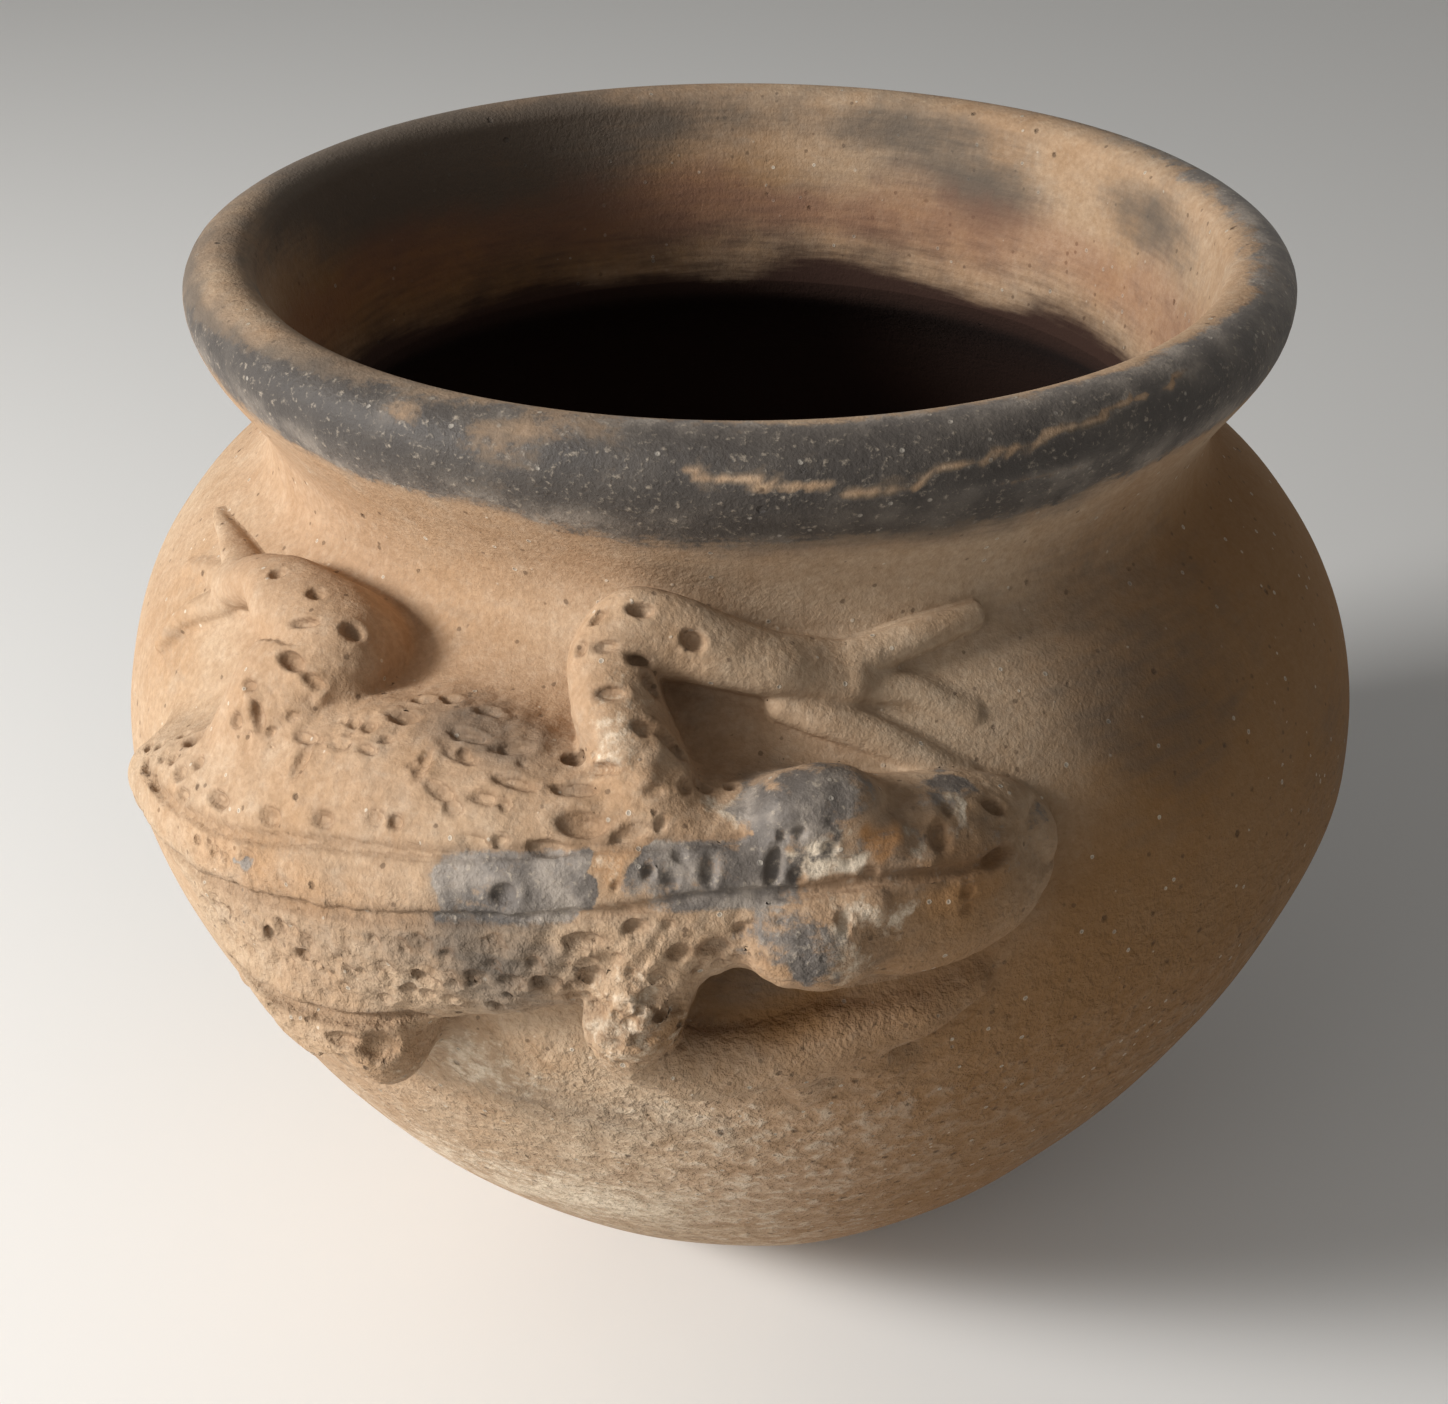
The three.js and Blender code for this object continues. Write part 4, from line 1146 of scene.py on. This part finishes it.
# Grey marks on the toad; those on the upper flank are painted shade.
TOAD_SMOKE_AND_SHADE = [
    (-37, 15, 8, 4.5, 0.45), (-26, 14.5, 9, 4.5, 0.5), (-25, -5.8, 10, 4, 0.85), (-42, -11, 24, 7, 0.35),
    (4, 11, 9, 4, 0.3), (20, 4, 8, 6, 0.3), (10, -6, 12, 5, 0.3), (-19, -12, 10, 3, 0.3),
]
toad_marks = jar_marks(mesh_points)
SLIP_HALF_WIDTH = 3.9
strip_middle = np.interp(along, *np.transpose(STRIP_LINE)) - 0.3
on_strip = np.clip((SLIP_HALF_WIDTH - np.abs(across - strip_middle)) / 1.2, 0, 1)
ragged_along = along + 0.9 * waves(mesh_points, 5, 51) + 0.5 * waves(mesh_points, 2, 53)
ragged_across = across + 0.6 * waves(mesh_points, 5, 52) + 0.3 * waves(mesh_points, 2, 54)
strip_slip = np.interp(ragged_along, STRIP_SLIP_PLACES, STRIP_SLIP_SHARES) * on_strip
toad_marks["slip"] = np.maximum(strip_slip, blots(ragged_along, ragged_across, TOAD_SLIP))
toad_marks["smoke_and_shade"] += blots(along, across, TOAD_SMOKE_AND_SHADE)
toad_marks["painted_shade"] += blots(along, across, TOAD_PAINTED_SHADE)
off_wall = np.clip((rise - 0.3) / 1.5, 0, 1)
belly_side = np.clip((1 - across) / 6, 0, 1) * off_wall
# The toad kept more of its skin than the wall beside it, but less on its belly side.
toad_marks["weathered"] = (1 - 0.5 * off_wall) * toad_marks["weathered"] + 0.35 * belly_side
# The pits and grooves are darkened with painted shade.
toad_marks["hollow"] = mesh_recess_shade
toad_marks["rubbed_and_painted_light"] += blots(ragged_along, ragged_across, TOAD_RUBBED_AND_LIT)
toad_marks["ochre"] = blots(ragged_along, ragged_across, TOAD_OCHRE)

# Each roll becomes a piece, and shares its border and its shading with the pieces beside it.
for name in rolls:
    own = faces[face_makers == rolls.index(name) + 1]
    used, places = np.unique(own, return_inverse=True)
    mesh = bpy.data.meshes.new(name + "_clay")
    mesh.from_pydata((mesh_points[used] * MM).tolist(), [], places.reshape(own.shape).tolist())
    piece = bpy.data.objects.new(name + "_clay", mesh)
    bpy.context.collection.objects.link(piece)
    put_marks(piece, {mark: values[used] for mark, values in toad_marks.items()})
    slipped = name in ("toad_dorsal_strip", *EYES)
    dress(piece, slip_material if slipped else clay_material, 180)
    mesh.normals_split_custom_set_from_vertices(mesh_normals[used].tolist())

# The floor and the light
# A plain pale floor, a soft key lamp from the left and above, as in the photograph, and two weak fills.
bpy.ops.object.select_all(action="DESELECT")
bpy.ops.mesh.primitive_plane_add(size=12)
floor = bpy.context.object
floor.name = floor.data.name = "floor"
floor_material, floor_tree = new_material("pale_floor")
floor_shader = add_node(floor_tree, "ShaderNodeBsdfPrincipled", Base_Color=linear("e8e6e2"), Roughness=0.8)
add_node(floor_tree, "ShaderNodeOutputMaterial", Surface=floor_shader.outputs[0])
floor.data.materials.append(floor_material)


def lamp(name, place, size, power):
    data = bpy.data.lights.new(name, "AREA")
    data.size = size
    data.energy = power
    light = bpy.data.objects.new(name, data)
    light.location = place
    light.rotation_euler = (Vector(LIT_PLACE) - Vector(place)).to_track_quat("-Z", "Y").to_euler()
    bpy.context.collection.objects.link(light)


LIT_PLACE = (0, 0, 80 * MM)
lamp("key", (-0.835, -0.318, 0.525), 0.25, 12.2)
lamp("front_left", (-0.7, -0.68, 0.36), 0.7, 3)
lamp("fill", (0.6, -0.9, 0.6), 1.2, 0.5)

# What the camera sees behind the floor is pale, and what lights the jar is dimmer.
world = bpy.data.worlds.new("studio")
bpy.context.scene.world = world
world.use_nodes = True
sky = world.node_tree
sky.nodes.clear()
rays = add_node(sky, "ShaderNodeLightPath")
seen = add_node(
    sky, "ShaderNodeMath", {"operation": "MAXIMUM"}, i0=rays.outputs["Is Camera Ray"],
    i1=rays.outputs["Is Glossy Ray"],
)
seen = add_node(
    sky, "ShaderNodeMath", {"operation": "MAXIMUM"}, i0=seen.outputs[0],
    i1=rays.outputs["Is Transmission Ray"],
)
dim_light = add_node(sky, "ShaderNodeBackground", Color=linear("ffffff"), Strength=0.17)
pale_view = add_node(sky, "ShaderNodeBackground", Color=linear("e8e6e2"), Strength=1.0)
sky_light = add_node(
    sky, "ShaderNodeMixShader", i0=seen.outputs[0], i1=dim_light.outputs[0], i2=pale_view.outputs[0]
)
add_node(sky, "ShaderNodeOutputWorld", Surface=sky_light.outputs[0])
bpy.context.scene.view_settings.view_transform = "Standard"
